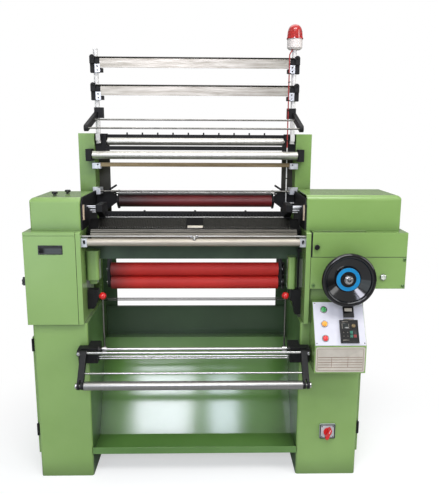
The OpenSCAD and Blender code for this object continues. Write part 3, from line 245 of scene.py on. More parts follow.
def finish(name, deep, pale, patch, sheen, grain=600, grain_depth=0.0, stretch=(1, 1, 1), metal=0.0,
           coat=0.0, shine=0.5, edge=0.0012, edge_tone=None, hollow_shade=None, shaded=None):
    paint = bpy.data.materials.new(name)
    paint.use_nodes = True
    tree = paint.node_tree
    join = tree.links.new
    shader = tree.nodes["Principled BSDF"]
    shader.inputs["Metallic"].default_value = metal
    shader.inputs["Specular IOR Level"].default_value = shine
    shader.inputs["Coat Weight"].default_value = coat
    shader.inputs["Coat Roughness"].default_value = 0.12
    place = add_node(tree, "TexCoord")
    along = add_node(tree, "Mapping", Scale=stretch)
    join(place.outputs["Object"], along.inputs["Vector"])
    cloud = add_node(tree, "TexNoise", Scale=patch, Detail=5.0)
    join(along.outputs[0], cloud.inputs["Vector"])
    tone = add_node(tree, "ValToRGB")
    tone.color_ramp.elements[0].position, tone.color_ramp.elements[0].color = 0.3, deep
    tone.color_ramp.elements[1].position, tone.color_ramp.elements[1].color = 0.7, pale
    join(cloud.outputs["Fac"], tone.inputs["Fac"])
    smear = add_node(tree, "TexNoise", Scale=patch * 3.7, Detail=4.0)
    join(along.outputs[0], smear.inputs["Vector"])
    gloss = add_node(tree, "MapRange", From_Min=0.25, From_Max=0.75, To_Min=sheen[0], To_Max=sheen[1])
    join(smear.outputs["Fac"], gloss.inputs["Value"])
    join(gloss.outputs["Result"], shader.inputs["Roughness"])
    soft = add_node(tree, "Bevel", samples=4, Radius=edge)
    colour = tone.outputs["Color"]
    # Painted highlight: an edge tone where the Bevel normal turns most, partly also rubbed paint.
    if edge_tone:
        face = add_node(tree, "NewGeometry")
        turned = add_node(tree, "VectorMath", operation="DOT_PRODUCT")
        join(soft.outputs[0], turned.inputs[0])
        join(face.outputs["Normal"], turned.inputs[1])
        sheen_and_wear_share = add_node(tree, "MapRange", From_Min=0.985, From_Max=0.8, To_Max=0.55)
        join(turned.outputs["Value"], sheen_and_wear_share.inputs["Value"])
        sheen_and_wear_edge = add_node(tree, "Mix", data_type="RGBA")
        sheen_and_wear_edge.inputs[7].default_value = edge_tone
        join(sheen_and_wear_share.outputs["Result"], sheen_and_wear_edge.inputs[0])
        join(colour, sheen_and_wear_edge.inputs[6])
        colour = sheen_and_wear_edge.outputs[2]
    # Painted shade: a darker tone where Ambient Occlusion finds corners and deep places.
    if hollow_shade:
        hollow = add_node(tree, "AmbientOcclusion", samples=6, Distance=0.16)
        openness = add_node(tree, "MapRange", From_Min=0.2, From_Max=0.85, To_Min=0.25)
        join(hollow.outputs["AO"], openness.inputs["Value"])
        hollow_shaded = add_node(tree, "Mix", data_type="RGBA")
        hollow_shaded.inputs[6].default_value = hollow_shade
        join(openness.outputs["Result"], hollow_shaded.inputs[0])
        join(colour, hollow_shaded.inputs[7])
        colour = hollow_shaded.outputs[2]
    # Painted shade: a darker tone towards one end along X.
    if shaded:
        axes = add_node(tree, "SeparateXYZ")
        join(place.outputs["Object"], axes.inputs[0])
        from_x, to_x, end_shade = shaded
        inward = add_node(tree, "MapRange", interpolation_type="SMOOTHSTEP", From_Min=from_x, From_Max=to_x)
        join(axes.outputs["X"], inward.inputs["Value"])
        end_shaded = add_node(tree, "Mix", data_type="RGBA")
        end_shaded.inputs[6].default_value = end_shade
        join(inward.outputs["Result"], end_shaded.inputs[0])
        join(colour, end_shaded.inputs[7])
        colour = end_shaded.outputs[2]
    join(colour, shader.inputs["Base Color"])
    speck = add_node(tree, "TexNoise", Scale=grain, Detail=2.0)
    join(along.outputs[0], speck.inputs["Vector"])
    bump = add_node(tree, "Bump", Strength=1.0, Distance=grain_depth)
    join(speck.outputs["Fac"], bump.inputs["Height"])
    join(soft.outputs[0], bump.inputs["Normal"])
    join(bump.outputs[0], shader.inputs["Normal"])
    return paint


print("finish helper ready")

# %% [markdown]
# The paints. The machine's colour is an apple-green gloss enamel, sprayed on folded sheet, so it
# has an orange-peel grain a millimetre across; its edges get a paler tone, which is a painted highlight.
# Castings are black enamel with a rougher skin, and knobs and the handwheel are polished black. The
# walls that lie in the shade of the bay or of the posts, and the main beam under the head, get darker
# greens, which are painted shade.

# %% Paints
green_enamel = finish("green_enamel", card(129, 163, 88), card(141, 175, 101), 2.6, (0.19, 0.27), grain=700,
                      grain_depth=0.00002, coat=0.3, edge=0.0025, edge_tone=card(166, 198, 126),
                      hollow_shade=card(36, 56, 34))
# Painted shade: the green of the bay, darkened.
shaded_green_enamel = finish("shaded_green_enamel", card(86, 126, 60), card(99, 139, 73), 3.4, (0.09, 0.13), grain=500,
                    grain_depth=0.00001, coat=0.3, edge=0.002, edge_tone=card(140, 176, 104),
                    hollow_shade=card(22, 34, 24))
beam_shade_green = finish("beam_shade_green", card(44, 62, 46), card(58, 78, 58), 8, (0.3, 0.42), grain=500,
                    grain_depth=0.00006, edge=0.002, edge_tone=card(80, 100, 78))
black_casting = finish("black_casting", card(13, 13, 14), card(21, 21, 22), 22, (0.48, 0.62),
                       grain=420, grain_depth=0.00012, shine=0.28, edge=0.0015, edge_tone=card(42, 42, 43))
black_gloss = finish("black_gloss", card(9, 9, 10), card(17, 16, 18), 12, (0.06, 0.13),
                     grain=300, grain_depth=0.00001, coat=0.6, edge=0.0015)
wheel_gloss = finish("wheel_gloss", card(5, 5, 6), card(10, 10, 11), 12, (0.07, 0.13),
                     grain=300, grain_depth=0.00001, coat=0.1, edge=0.0015)
white_panel = finish("white_panel", card(213, 212, 220), card(224, 223, 230), 9, (0.3, 0.4),
                     grain=1100, grain_depth=0.00002, edge_tone=card(240, 240, 243))
blue_paint = finish("blue_paint", card(6, 124, 180), card(14, 142, 200), 30, (0.28, 0.4),
                    grain=800, grain_depth=0.00002, edge_tone=card(70, 175, 230))
motor_paint = finish("motor_paint", card(98, 112, 108), card(118, 132, 126), 14, (0.4, 0.55),
                     grain=420, grain_depth=0.0001, edge_tone=card(150, 158, 152))
shade_enamel = finish("shade_enamel", card(52, 76, 47), card(62, 88, 56), 3.4, (0.3, 0.36), grain=500,
                      grain_depth=0.00001, edge=0.002)
post_shade_enamel = finish("post_shade_enamel", card(122, 156, 82), card(134, 168, 94), 2.6, (0.22, 0.3), grain=700,
                     grain_depth=0.00002, edge=0.002)
flange_shadow_olive = finish("flange_shadow_olive", card(40, 38, 28), card(50, 47, 36), 6, (0.42, 0.52), grain=500,
                     grain_depth=0.00003, edge=0.002)
inner_shade_enamel = finish("inner_shade_enamel", card(80, 115, 62), card(92, 127, 73), 3.4, (0.34, 0.42), grain=500,
                      grain_depth=0.00001, edge=0.002, hollow_shade=card(18, 28, 20))
plate_cream = finish("plate_cream", card(190, 182, 168), card(202, 195, 182), 26, (0.34, 0.46),
                     grain=900, grain_depth=0.00001, edge_tone=card(204, 180, 150))
plate_brown = finish("plate_brown", card(112, 78, 56), card(134, 98, 74), 60, (0.4, 0.5))
sight_glass = finish("sight_glass", card(206, 214, 196), card(220, 227, 211), 60, (0.14, 0.24), coat=0.4)
display_glass = finish("display_glass", card(20, 26, 26), card(30, 38, 36), 30, (0.06, 0.12), coat=0.6)
print("paints:", [m.name for m in bpy.data.materials if m.users == 0])

# %% [markdown]
# The metals. A turned rod has fine rings round it, a drawn bar has lines along it, and a zinc
# bracket has neither but a cloudy bloom. The pattern is stretched by the Mapping scale: many
# changes along X give rings on a rod that lies along X, and few give drawn lines.

# %% Metals
bright_steel = finish("bright_steel", card(170, 170, 171), card(188, 187, 184), 5, (0.17, 0.22), metal=1.0,
                      stretch=(40, 3, 3), grain=90, grain_depth=0.000004, edge=0.0008)
drawn_alloy = finish("drawn_alloy", card(160, 154, 141), card(196, 190, 177), 8, (0.3, 0.44), metal=0.9,
                     stretch=(0.6, 6, 6), grain=160, grain_depth=0.00001, edge=0.0008)
front_alloy = finish("front_alloy", card(160, 152, 137), card(182, 175, 161), 8, (0.36, 0.48), metal=0.4,
                     stretch=(0.6, 6, 6), grain=160, grain_depth=0.00001, edge=0.0008)
zinc = finish("zinc", card(196, 198, 202), card(226, 227, 230), 60, (0.32, 0.48), metal=0.75,
              grain=700, grain_depth=0.00003, edge_tone=card(236, 236, 238))
dark_steel = finish("dark_steel", card(26, 26, 24), card(50, 49, 45), 120, (0.3, 0.5), metal=0.85,
                    grain=900, grain_depth=0.00002, edge=0.0004)
bronze_bar = finish("bronze_bar", card(104, 90, 64), card(146, 128, 96), 9, (0.28, 0.42), metal=0.7,
                    stretch=(0.6, 6, 6), grain=200, grain_depth=0.00001)
worn_steel = finish("worn_steel", card(92, 89, 82), card(126, 122, 114), 40, (0.35, 0.5), metal=0.8,
                    grain=700, grain_depth=0.00002)
satin_steel = finish("satin_steel", card(150, 150, 147), card(176, 175, 171), 6, (0.28, 0.38), metal=1.0,
                     stretch=(30, 2, 2), grain=90, grain_depth=0.000005)
white_paint = finish("white_paint", card(222, 220, 215), card(236, 234, 230), 14, (0.3, 0.45), grain=600,
                     grain_depth=0.00003, edge_tone=card(190, 186, 178))
creel_steel = finish("creel_steel", card(96, 95, 91), card(122, 120, 115), 6, (0.2, 0.27), metal=1.0,
                     stretch=(4, 2, 2), grain=90, grain_depth=0.000003)
# The creel rods' dark metal is painted shade, and the yarn bars' dark edge tone a painted shade line.
rod_shade_dark = finish("rod_shade_dark", card(34, 33, 31), card(48, 47, 44), 6, (0.16, 0.22), metal=1.0,
                   stretch=(4, 2, 2), grain=90, grain_depth=0.000003)
bar_alloy = finish("bar_alloy", card(136, 131, 119), card(184, 179, 168), 7, (0.34, 0.46), metal=0.85,
                   stretch=(0.8, 4, 9), grain=160, grain_depth=0.00001, edge=0.0015,
                   edge_tone=card(70, 64, 52))
winder_steel = finish("winder_steel", card(141, 141, 138), card(150, 149, 146), 6, (0.28, 0.36), metal=1.0,
                      stretch=(30, 2, 2), grain=90, grain_depth=0.000004)
tube_steel = finish("tube_steel", card(184, 182, 174), card(202, 200, 192), 6, (0.33, 0.39), metal=0.9,
                    stretch=(20, 2, 2), grain=90, grain_depth=0.000001)
oiled_black = finish("oiled_black", card(5, 5, 5), card(11, 11, 11), 40, (0.42, 0.55), grain=500,
                     grain_depth=0.00002, shine=0.1)
print("metals ready")

# %% [markdown]
# Rubber and plastic. The take-down rollers are ground red rubber, dull and even; the feed roller
# is an older, darker red. Buttons, balls and the switch grip are moulded plastic with a thin
# shine, and the lamp's base is a cream moulding.

# %% Rubber and plastics
# Both rubbers darken towards their left end, where they lie in the shade of the side: painted shade.
red_rubber = finish("red_rubber", card(172, 26, 18), card(194, 36, 26), 5, (0.56, 0.64),
                    grain=420, grain_depth=0.00002, edge_tone=card(150, 60, 52),
                    shaded=(-0.56, -0.33, card(70, 22, 20)))
dark_red_rubber = finish("dark_red_rubber", card(96, 22, 25), card(118, 31, 33), 5, (0.4, 0.5),
                         grain=420, grain_depth=0.00002, shaded=(-0.5, -0.1, card(40, 16, 17)))
red_plastic = finish("red_plastic", card(204, 22, 26), card(222, 34, 34), 18, (0.14, 0.24), coat=0.4,
                     grain=300, grain_depth=0.00001, edge_tone=card(236, 90, 84))
green_button_plastic = finish("green_button_plastic", card(52, 158, 78), card(74, 182, 98), 60,
                              (0.16, 0.26), coat=0.4)
amber_button_plastic = finish("amber_button_plastic", card(244, 156, 22), card(252, 178, 44), 60,
                              (0.16, 0.26), coat=0.4)
key_green = finish("key_green", card(36, 104, 84), card(50, 122, 100), 60, (0.24, 0.34))
key_red = finish("key_red", card(128, 36, 38), card(150, 48, 48), 60, (0.24, 0.34))
red_button_plastic = finish("red_button_plastic", card(216, 38, 42), card(234, 58, 58), 60,
                            (0.16, 0.26), coat=0.4)
lamp_red = finish("lamp_red", card(168, 22, 21), card(196, 38, 32), 26, (0.1, 0.2), coat=0.6)
cream_plastic = finish("cream_plastic", card(222, 212, 206), card(234, 227, 221), 20, (0.34, 0.46),
                       grain=900, grain_depth=0.00001, edge_tone=card(242, 236, 230))
strip_plastic = finish("strip_plastic", card(206, 182, 152), card(224, 203, 176), 30, (0.3, 0.45))
grey_plastic = finish("grey_plastic", card(186, 190, 193), card(204, 207, 209), 30, (0.34, 0.46),
                      grain=900, grain_depth=0.00002, edge_tone=card(222, 224, 225))
belt_rubber = finish("belt_rubber", card(24, 24, 24), card(38, 37, 36), 40, (0.6, 0.8),
                     grain=500, grain_depth=0.0001)
cable_jacket = finish("cable_jacket", card(150, 34, 32), card(176, 50, 46), 40, (0.35, 0.5))
print("materials:", len(bpy.data.materials))

# %% [markdown]
# Dressing the solids. A solid often carries more than one finish: a rubber roller has steel ends,
# a green column has black hinge lugs. Its mesh may not change, but each face can name one of the
# solid's own material slots. The helper takes the main finish, then pairs of a finish and a test
# on the face's middle, in the drawing's millimetres. Sheet metal and castings come first: the columns'
# inner walls lie in the shade of the bay and get a darker green that paints that shade in, and the
# lugs of the door hinges are black.

# %% Sheet metal and castings
def dress(node, main, *areas):
    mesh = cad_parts[node].data
    mesh.materials.clear()
    mesh.materials.append(main)
    for number, (paint, inside) in enumerate(areas, 1):
        mesh.materials.append(paint)
        hit = [face for face in mesh.polygons if inside(*drawn(face.center))]
        for face in hit:
            face.material_index = number
        print(f"{node}: {len(hit)} faces in {paint.name}")


COLUMN_IN, POST_IN = 500, 515
LEFT_WALL, RIGHT_WALL = -756.3, 796.3
LEFT_LATCH, RIGHT_LATCH = -768.2, 808.2
NECK = 790
KNUCKLE = 23.7
PANEL_BACK, POST_BACK = 502.6, 509


def inner_wall(x, y, z):
    return abs(abs(x) - COLUMN_IN) < 0.6


def on_knuckle(x, y, z):
    return y < KNUCKLE


dress("left_column", green_enamel, (inner_shade_enamel, inner_wall),
      (black_casting, lambda x, y, z: x < LEFT_WALL))
dress("right_column", green_enamel, (inner_shade_enamel, inner_wall),
      (black_casting, lambda x, y, z: x > RIGHT_WALL and z < NECK))
dress("left_door", green_enamel, (black_casting, on_knuckle),
      (bright_steel, lambda x, y, z: x < LEFT_LATCH))
dress("right_door", green_enamel, (black_casting, on_knuckle),
      (bright_steel, lambda x, y, z: x > RIGHT_LATCH))
for name in ("side_frames", "left_front_cover", "left_hood",
             "right_hood", "right_drive_cover", "right_gear_case", "control_box", "drive_boxes"):
    dress(name, green_enamel)
for name in ("takedown_brackets", "ratchet_blocks", "takeup_brackets", "top_roller_frame", "creel_clamps",
             "feed_brackets", "press_levers", "drive_rod"):
    dress(name, black_casting)
# The main beam's dark green is painted shade: it lies under the head.
dress("main_beam", beam_shade_green)
dress("chute", shaded_green_enamel)
# Painted shade: the posts' flanges get a dark olive on their front, the posts' inner walls a slightly
# darker green, and the rear panel's front a darker green, while their backs stay green.
dress("rear_posts", green_enamel, (flange_shadow_olive, lambda x, y, z: abs(x) < POST_IN - 0.5 and y < POST_BACK),
      (post_shade_enamel, lambda x, y, z: POST_IN - 0.5 < abs(x) < POST_IN + 0.5))
dress("rear_panel", green_enamel, (shade_enamel, lambda x, y, z: y < PANEL_BACK))
dress("side_plates", black_casting, (strip_plastic, lambda x, y, z: abs(x) < 511.7))

# %% [markdown]
# Rollers and rods. The take-down rollers are red only between their journals, and the gears on their
# right end are dark. A bundle of rods can be one solid, so height tells its rods apart: bronze above,
# bright below, and a duller one in front of the head.

# %% Rollers, rods and drive
RUBBER_END, GEAR_SIDE = 406.2, 425.5
FEED_END = 392.2
ARM_IN = 496.8
LEVER_SHAFT, LOW_ROD = 664, 700
FLAT_BAR_Z, FRONT_ROD_Z = 1508, 1201


def on_journal(x, y, z):
    return abs(x) > RUBBER_END


for name in ("takedown_roller_upper", "takedown_roller_lower"):
    dress(name, red_rubber, (bright_steel, on_journal), (dark_steel, lambda x, y, z: x > GEAR_SIDE))
dress("feed_roller", dark_red_rubber, (bright_steel, lambda x, y, z: abs(x) > FEED_END))
for name in ("press_roller", "main_shaft", "motor_pulley"):
    dress(name, bright_steel)
for name in ("top_front_roller", "top_rear_roller"):
    dress(name, tube_steel)
dress("takeup_roller", winder_steel)
dress("takeup_arms", black_casting, (bright_steel, lambda x, y, z: abs(x) < ARM_IN))
dress("release_levers", creel_steel, (bright_steel, lambda x, y, z: z < LEVER_SHAFT))
dress("cross_rods", creel_steel, (bronze_bar, lambda x, y, z: abs(z - FLAT_BAR_Z) < 10.2),
      (bright_steel, lambda x, y, z: z < LOW_ROD), (winder_steel, lambda x, y, z: abs(z - FRONT_ROD_Z) < 5))
dress("motor", motor_paint)
dress("drive_belt", belt_rubber)

# %% [markdown]
# Head and creel. The needle bed slopes, so its comb and clamp are found by their height above the
# bed's own plane. The treads of the stepped needle rail are dark with oil and its risers are bright.
# The yarn bars of the creel are flat alloy strips with a rod above each; the rods' dark metal and the
# strips' dark edges are painted shade.

# %% Head and creel
BED_Y, BED_Z = 120, 1216
BED_RUN, BED_RISE = 0.8064, 0.5914
CLAMP_HALF = 40.5
COMB_END, BED_END = 459.8, 459.9
TREADS = 1212, 1219, 1226
YARN_BARS = 2005, 1872


def above_bed(y, z):
    return -BED_RISE * (y - BED_Y) + BED_RUN * (z - BED_Z)


def on_comb(x, y, z):
    return above_bed(y, z) > 0.3 and CLAMP_HALF < abs(x) < COMB_END


def on_clamp(x, y, z):
    return above_bed(y, z) > 4 and abs(x) < CLAMP_HALF


def on_tread(x, y, z):
    return min(abs(z - tread) for tread in TREADS) < 0.2


def on_yarn_bar(x, y, z):
    return min(abs(z - bar) for bar in YARN_BARS) < 22.1 and y < 396.7


def on_yarn_rod(x, y, z):
    return any(22.2 < z - bar < 45 for bar in YARN_BARS)


dress("needle_bed", black_casting, (dark_steel, on_comb), (oiled_black, on_clamp),
      (oiled_black, lambda x, y, z: abs(x) > BED_END))
dress("needle_bar", drawn_alloy, (dark_steel, on_tread))
dress("front_bar", front_alloy)
dress("bar_brackets", zinc)
dress("guide_bars", black_casting, (zinc, lambda x, y, z: abs(x) > 468.2),
      (satin_steel, lambda x, y, z: math.hypot(y - 223, z - 1260) < 3.2))
dress("creel_uprights", white_paint)
dress("creel_bars", creel_steel, (bar_alloy, on_yarn_bar), (rod_shade_dark, on_yarn_rod))

# %% [markdown]
# Controls and lamp. The white panel slopes too: what stands more than a few millimetres above its
# plane are the bright bezels of the buttons. The lamp's lead is red down to the top of the posts, and
# white below it.

# %% Controls, knobs and lamp
PANEL_X, PANEL_Y, PANEL_Z = 662, -40, 905
PANEL_RUN, PANEL_RISE = 0.5145, 0.8575
LEAD_CHANGE = 1640


def above_panel(x, y, z):
    return -PANEL_RISE * (y - PANEL_Y) + PANEL_RUN * (z - PANEL_Z) > 3.2


dress("control_panel", white_panel, (bright_steel, above_panel))
for name in ("cover_knobs", "panel_instruments"):
    dress(name, black_gloss)
dress("handwheel", wheel_gloss)
dress("handwheel_ring", blue_paint)
dress("switch_plate", grey_plastic)
dress("switch_knob", red_plastic)
dress("lever_knobs", red_plastic)
dress("button_green", green_button_plastic)
dress("button_amber", amber_button_plastic)
dress("button_red", red_button_plastic)
dress("lamp_base", cream_plastic)
dress("lamp_dome", lamp_red)
dress("lamp_cable", cable_jacket, (white_paint, lambda x, y, z: z < LEAD_CHANGE))

# %% [markdown]
# Small trim. What follows is modelled with Blender's own tools: a primitive is put at its size and
# place, then its faces are picked by the way they look, inset, pushed in or pulled out, and a Bevel
# modifier softens the edges. These helpers place and name a new piece, and pick and inset its faces
# in edit mode.

# %% Helpers that start a piece
FRONT, UP, LEFT, RIGHT = (0, -1, 0), (0, 0, 1), (-1, 0, 0), (1, 0, 0)


def only(piece):
    bpy.ops.object.select_all(action="DESELECT")
    piece.select_set(True)
    bpy.context.view_layer.objects.active = piece


def fresh(name):
    piece = bpy.context.object
    piece.name = piece.data.name = name
    bpy.ops.object.transform_apply(location=True, rotation=True, scale=True)
    return piece


def block(name, low, high):
    bpy.ops.object.select_all(action="DESELECT")
    low, high = spot(*low), spot(*high)
    bpy.ops.mesh.primitive_cube_add(size=1, location=(low + high) / 2)
    bpy.context.object.scale = high - low
    return fresh(name)


def disc(name, middle, radius, depth, way, sides=32):
    bpy.ops.object.select_all(action="DESELECT")
    bpy.ops.mesh.primitive_cylinder_add(vertices=sides, radius=radius / 1000, depth=depth / 1000,
                                        location=spot(*middle))
    bpy.context.object.rotation_euler = Vector(way).to_track_quat("Z", "Y").to_euler()
    return fresh(name)


def pick(piece, wanted):
    only(piece)
    bpy.ops.object.mode_set(mode="EDIT")
    bpy.ops.mesh.select_mode(type="FACE")
    bpy.ops.mesh.select_all(action="DESELECT")
    mesh = bmesh.from_edit_mesh(piece.data)
    for face in mesh.faces:
        face.select_set(bool(wanted(face)))
    bmesh.update_edit_mesh(piece.data)


def looks(way):
    way = Vector(way).normalized()
    return lambda face: face.normal.dot(way) > 0.9


def inset(rim, rise=0.0):
    bpy.ops.mesh.inset(thickness=rim / 1000, depth=rise / 1000)


def done():
    bpy.ops.object.mode_set(mode="OBJECT")


print("a piece can be placed, picked and inset")

# %% [markdown]
# The other helpers finish a piece: they soften its edges, round its corners, join pieces, repeat one
# at given places or in a row, and at the end give it its finish and the body that it moves with.

# %% Helpers that finish a piece
def soften(piece, width, steps=2):
    only(piece)
    bevel = piece.modifiers.new("soft_edges", "BEVEL")
    bevel.width = width / 1000
    bevel.segments = steps
    bevel.limit_method = "ANGLE"
    bpy.ops.object.modifier_apply(modifier=bevel.name)


def round_corners(piece, way, radius):
    only(piece)
    bpy.ops.object.mode_set(mode="EDIT")
    bpy.ops.mesh.select_mode(type="EDGE")
    bpy.ops.mesh.select_all(action="DESELECT")
    mesh = bmesh.from_edit_mesh(piece.data)
    for edge in mesh.edges:
        line = edge.verts[1].co - edge.verts[0].co
        edge.select_set(abs(line.normalized().dot(Vector(way))) > 0.99)
    bmesh.update_edit_mesh(piece.data)
    bpy.ops.mesh.bevel(offset=radius / 1000, segments=5, affect="EDGES")
    done()


def join_to(piece, *others):
    only(piece)
    for other in others:
        other.select_set(True)
    bpy.ops.object.join()


def repeat(piece, *moves):
    copies = []
    for move in moves:
        only(piece)
        bpy.ops.object.duplicate()
        bpy.context.object.location = Vector(move) / 1000
        copies.append(fresh(piece.name + "_copy"))
    join_to(piece, *copies)
    return piece


def row(piece, count, step):
    only(piece)
    array = piece.modifiers.new("row", "ARRAY")
    array.count = count
    array.use_relative_offset = False
    array.use_constant_offset = True
    array.constant_offset_displace = Vector(step) / 1000
    bpy.ops.object.modifier_apply(modifier=array.name)


def settle(piece, body, slot, main, *areas):
    mesh = piece.data
    mesh.materials.clear()
    for paint in (main, *(area[0] for area in areas)):
        mesh.materials.append(paint)
    for number, (paint, inside) in enumerate(areas, 1):
        for face in mesh.polygons:
            if inside(*drawn(face.center)):
                face.material_index = number
    only(piece)
    bpy.ops.object.shade_smooth_by_angle(angle=math.radians(35))
    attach(piece, body)
    low, high = (drawn(Vector(corner)) for corner in (piece.bound_box[0], piece.bound_box[6]))
    reach = [round(v) for v in low], [round(v) for v in high]
    print(f"{piece.name} on {body}: {len(mesh.polygons)} faces, {reach[0]} to {reach[1]}")


print("a piece can be softened, repeated and settled")

# %% [markdown]
# Screws. A socket screw is a short cylinder whose outer face is inset twice: once outwards, for the
# rounded crown, and once inwards, for the socket. It is modelled once for each place that needs it,
# and its copies are joined to it, so a set of screws is one piece. A hexagon bolt has a washer.

# %% Screw heads
def screw(name, middle, radius, way):
    head = disc(name, middle, radius, radius * 0.8, way, sides=20)
    pick(head, looks(way))
    inset(radius * 0.22, radius * 0.2)
    inset(radius * 0.28)
    inset(radius * 0.06, -radius * 0.4)
    done()
    return head


def hex_bolt(name, middle, radius, way):
    head = disc(name, middle, radius, radius * 0.9, way, sides=6)
    pick(head, looks(way))
    inset(radius * 0.14, radius * 0.08)
    done()
    seat = Vector(middle) - Vector(way) * radius * 0.5
    washer = disc(name + "_washer", seat, radius * 1.35, radius * 0.22, way)
    soften(washer, radius * 0.06)
    join_to(head, washer)
    return head


print("screw and bolt ready")

# %% [markdown]
# The left cover carries a long black plate, which stays bare. It is a thin block whose front is
# inset for a raised rim, with a rivet at each end.

# %% Plate on the left cover
plate = block("cover_plate", (-703, -22.2, 1124), (-593, -20, 1166))
pick(plate, looks(FRONT))
inset(3.5)
inset(0.8, -0.9)
done()
soften(plate, 0.5)
settle(plate, "frame", "black_plastic", black_gloss)
rivet = screw("cover_plate_rivets", (-698.5, -22.4, 1145), 1.9, FRONT)
repeat(rivet, (101, 0, 0))
settle(rivet, "frame", "chrome", worn_steel)

# %% [markdown]
# Right covers. The upright slit beside the drive cover is closed by a black rubber strip that sits a
# little below the sheet. A thin strip of the same black rubber paints the shadow line where the drive
# cover stands on the gear case: it is painted shade. On the gear case are an oil sight, which is a hexagon
# with a pale glass, and painted screws in its free corners. The finger well of the drive cover gets a
# pressed rim.

# %% Seals, oil sight and screws of the right covers
strip = block("slit_seal", (536.4, -17, 1113), (541.6, 20, 1222))
pick(strip, looks(FRONT))
inset(1.2)
inset(0.6, -2.5)
done()
soften(strip, 0.4)
settle(strip, "frame", "black_plastic", belt_rubber)
# A black strip paints the shadow line of the seam: painted shade.
seam_shadow = block("case_seam_shadow", (537, -20.5, 1110.6), (976.6, 4, 1113))
soften(seam_shadow, 0.4)
seam_shadow_end = block("case_seam_shadow_end", (974, -20.5, 1110.6), (977.5, 338, 1113))
soften(seam_shadow_end, 0.4)
for piece in (seam_shadow, seam_shadow_end):
    settle(piece, "frame", "black_plastic", belt_rubber)
rim = block("finger_well_rim", (553, -7, 1225), (797, 38, 1226.4))
round_corners(rim, UP, 7)
pick(rim, looks(UP))
inset(4)
inset(0.5, -1.3)
done()
soften(rim, 0.5)
settle(rim, "frame", "green_paint", green_enamel)
sight_x, sight_z = 873, 1018
sight = disc("oil_sight", (sight_x, -23.5, sight_z), 15, 7, FRONT, sides=6)
pick(sight, looks(FRONT))
inset(3, 1)
inset(1.2, 1.5)
inset(1.2)
inset(0.8, -2.4)
done()
soften(sight, 0.5)
settle(sight, "frame", "chrome", bright_steel,
       (sight_glass, lambda x, y, z: math.hypot(x - sight_x, z - sight_z) < 11 and y < -24))
case_screw = screw("case_screws", (968, -20.6, 1100), 7.4, FRONT)
repeat(case_screw, (0, 0, -125), (-418, 0, -122))
settle(case_screw, "frame", "chrome", shaded_green_enamel)

# %% [markdown]
# Rating plate. The plate on the control box's lower face stays blank: a cream plate with a thin border
# and ruled lines. Its corners are rounded by bevelling the four edges that run front to back, and the
# border is a narrow ring of faces that two insets leave behind.

# %% Rating plate
plate = block("rating_plate", (550, -146.6, 606), (774, -145, 725))
round_corners(plate, FRONT, 9)
pick(plate, looks(FRONT))
inset(7)
inset(1.6, 0.15)
inset(0.6, -0.15)
done()


def on_border(x, y, z):
    outside = not (558.8 < x < 765.2 and 614.8 < z < 716.2)
    return y < -146.4 and outside and 556.8 < x < 767.2 and 612.8 < z < 718.2


settle(plate, "frame", "white_metal", plate_cream, (plate_brown, on_border))
rule = block("plate_rules", (561, -146.9, 628), (763, -146.4, 630))
repeat(rule, (0, 0, 12), (0, 0, 24), (0, 0, 36), (0, 0, 48))
settle(rule, "frame", "black_plastic", plate_brown)
divider = block("plate_dividers", (622, -146.9, 630), (623.6, -146.4, 678))
repeat(divider, (74, 0, 0))
settle(divider, "frame", "black_plastic", plate_brown)

# %% [markdown]
# Keypad. The trim of the control box lies on its sloping panel, so helpers work in the panel's own
# frame: x across, y up the slope, z out of it. The solid gives the keypad's black body; the keys, the
# display with its frame, the small dial and the lights are modelled here. A key is a block whose top
# is inset and lowered, for the finger dish.

# %% Keypad
PANEL = (0, -PANEL_RISE, PANEL_RUN)
KEY_HALF = 6.5


def on_panel(x, y, z):
    return (PANEL_X + x, PANEL_Y + PANEL_RUN * y - PANEL_RISE * z,
            PANEL_Z + PANEL_RISE * y + PANEL_RUN * z)


def up_panel(step):
    return Vector(on_panel(0, step, 0)) - Vector(on_panel(0, 0, 0))


def panel_block(name, low, high):
    bpy.ops.object.select_all(action="DESELECT")
    middle = [(a + b) / 2 for a, b in zip(low, high)]
    bpy.ops.mesh.primitive_cube_add(size=1, location=spot(*on_panel(*middle)))
    bpy.context.object.scale = [(b - a) / 1000 for a, b in zip(low, high)]
    bpy.context.object.rotation_euler = (math.atan2(PANEL_RISE, PANEL_RUN), 0, 0)
    return fresh(name)


def key(name, x, y, paint):
    cap = panel_block(name, (x - KEY_HALF, y - KEY_HALF, 10), (x + KEY_HALF, y + KEY_HALF, 13))
    pick(cap, looks(PANEL))
    inset(1.6)
    inset(1.4, -0.7)
    done()
    soften(cap, 0.6)
    settle(cap, "frame", "black_plastic", paint)


key("key_run", 50, -144, key_green)
key("key_jog", 50, -161, key_green)
key("key_mode", 66, -144, black_gloss)
key("key_stop", 66, -161, key_red)
display = panel_block("keypad_display", (9, -128, 10), (42, -103, 12))
pick(display, looks(PANEL))
inset(2.2)
inset(0.6, -1.2)
done()
soften(display, 0.4)
settle(display, "frame", "black_plastic", worn_steel, (display_glass, lambda x, y, z: 674 < x < 701))
dial = disc("keypad_dial", on_panel(61, -115, 13.5), 9, 7, PANEL, sides=24)
pick(dial, looks(PANEL))
inset(1.8, 1.2)
inset(3.6)
inset(0.6, -0.8)
done()
soften(dial, 0.5)
settle(dial, "frame", "black_plastic", bronze_bar)
light = disc("keypad_lights", on_panel(15, -144, 10.6), 2.4, 1.6, PANEL, sides=16)
pick(light, looks(PANEL))
inset(0.8, 0.6)
done()
repeat(light, (18, 0, 0))
repeat(light, up_panel(-17))
settle(light, "frame", "white_metal", worn_steel)
strip = panel_block("keypad_strips", (9, -181, 10), (38, -177, 10.5))
soften(strip, 0.2)
repeat(strip, up_panel(84))
settle(strip, "frame", "white_metal", worn_steel)

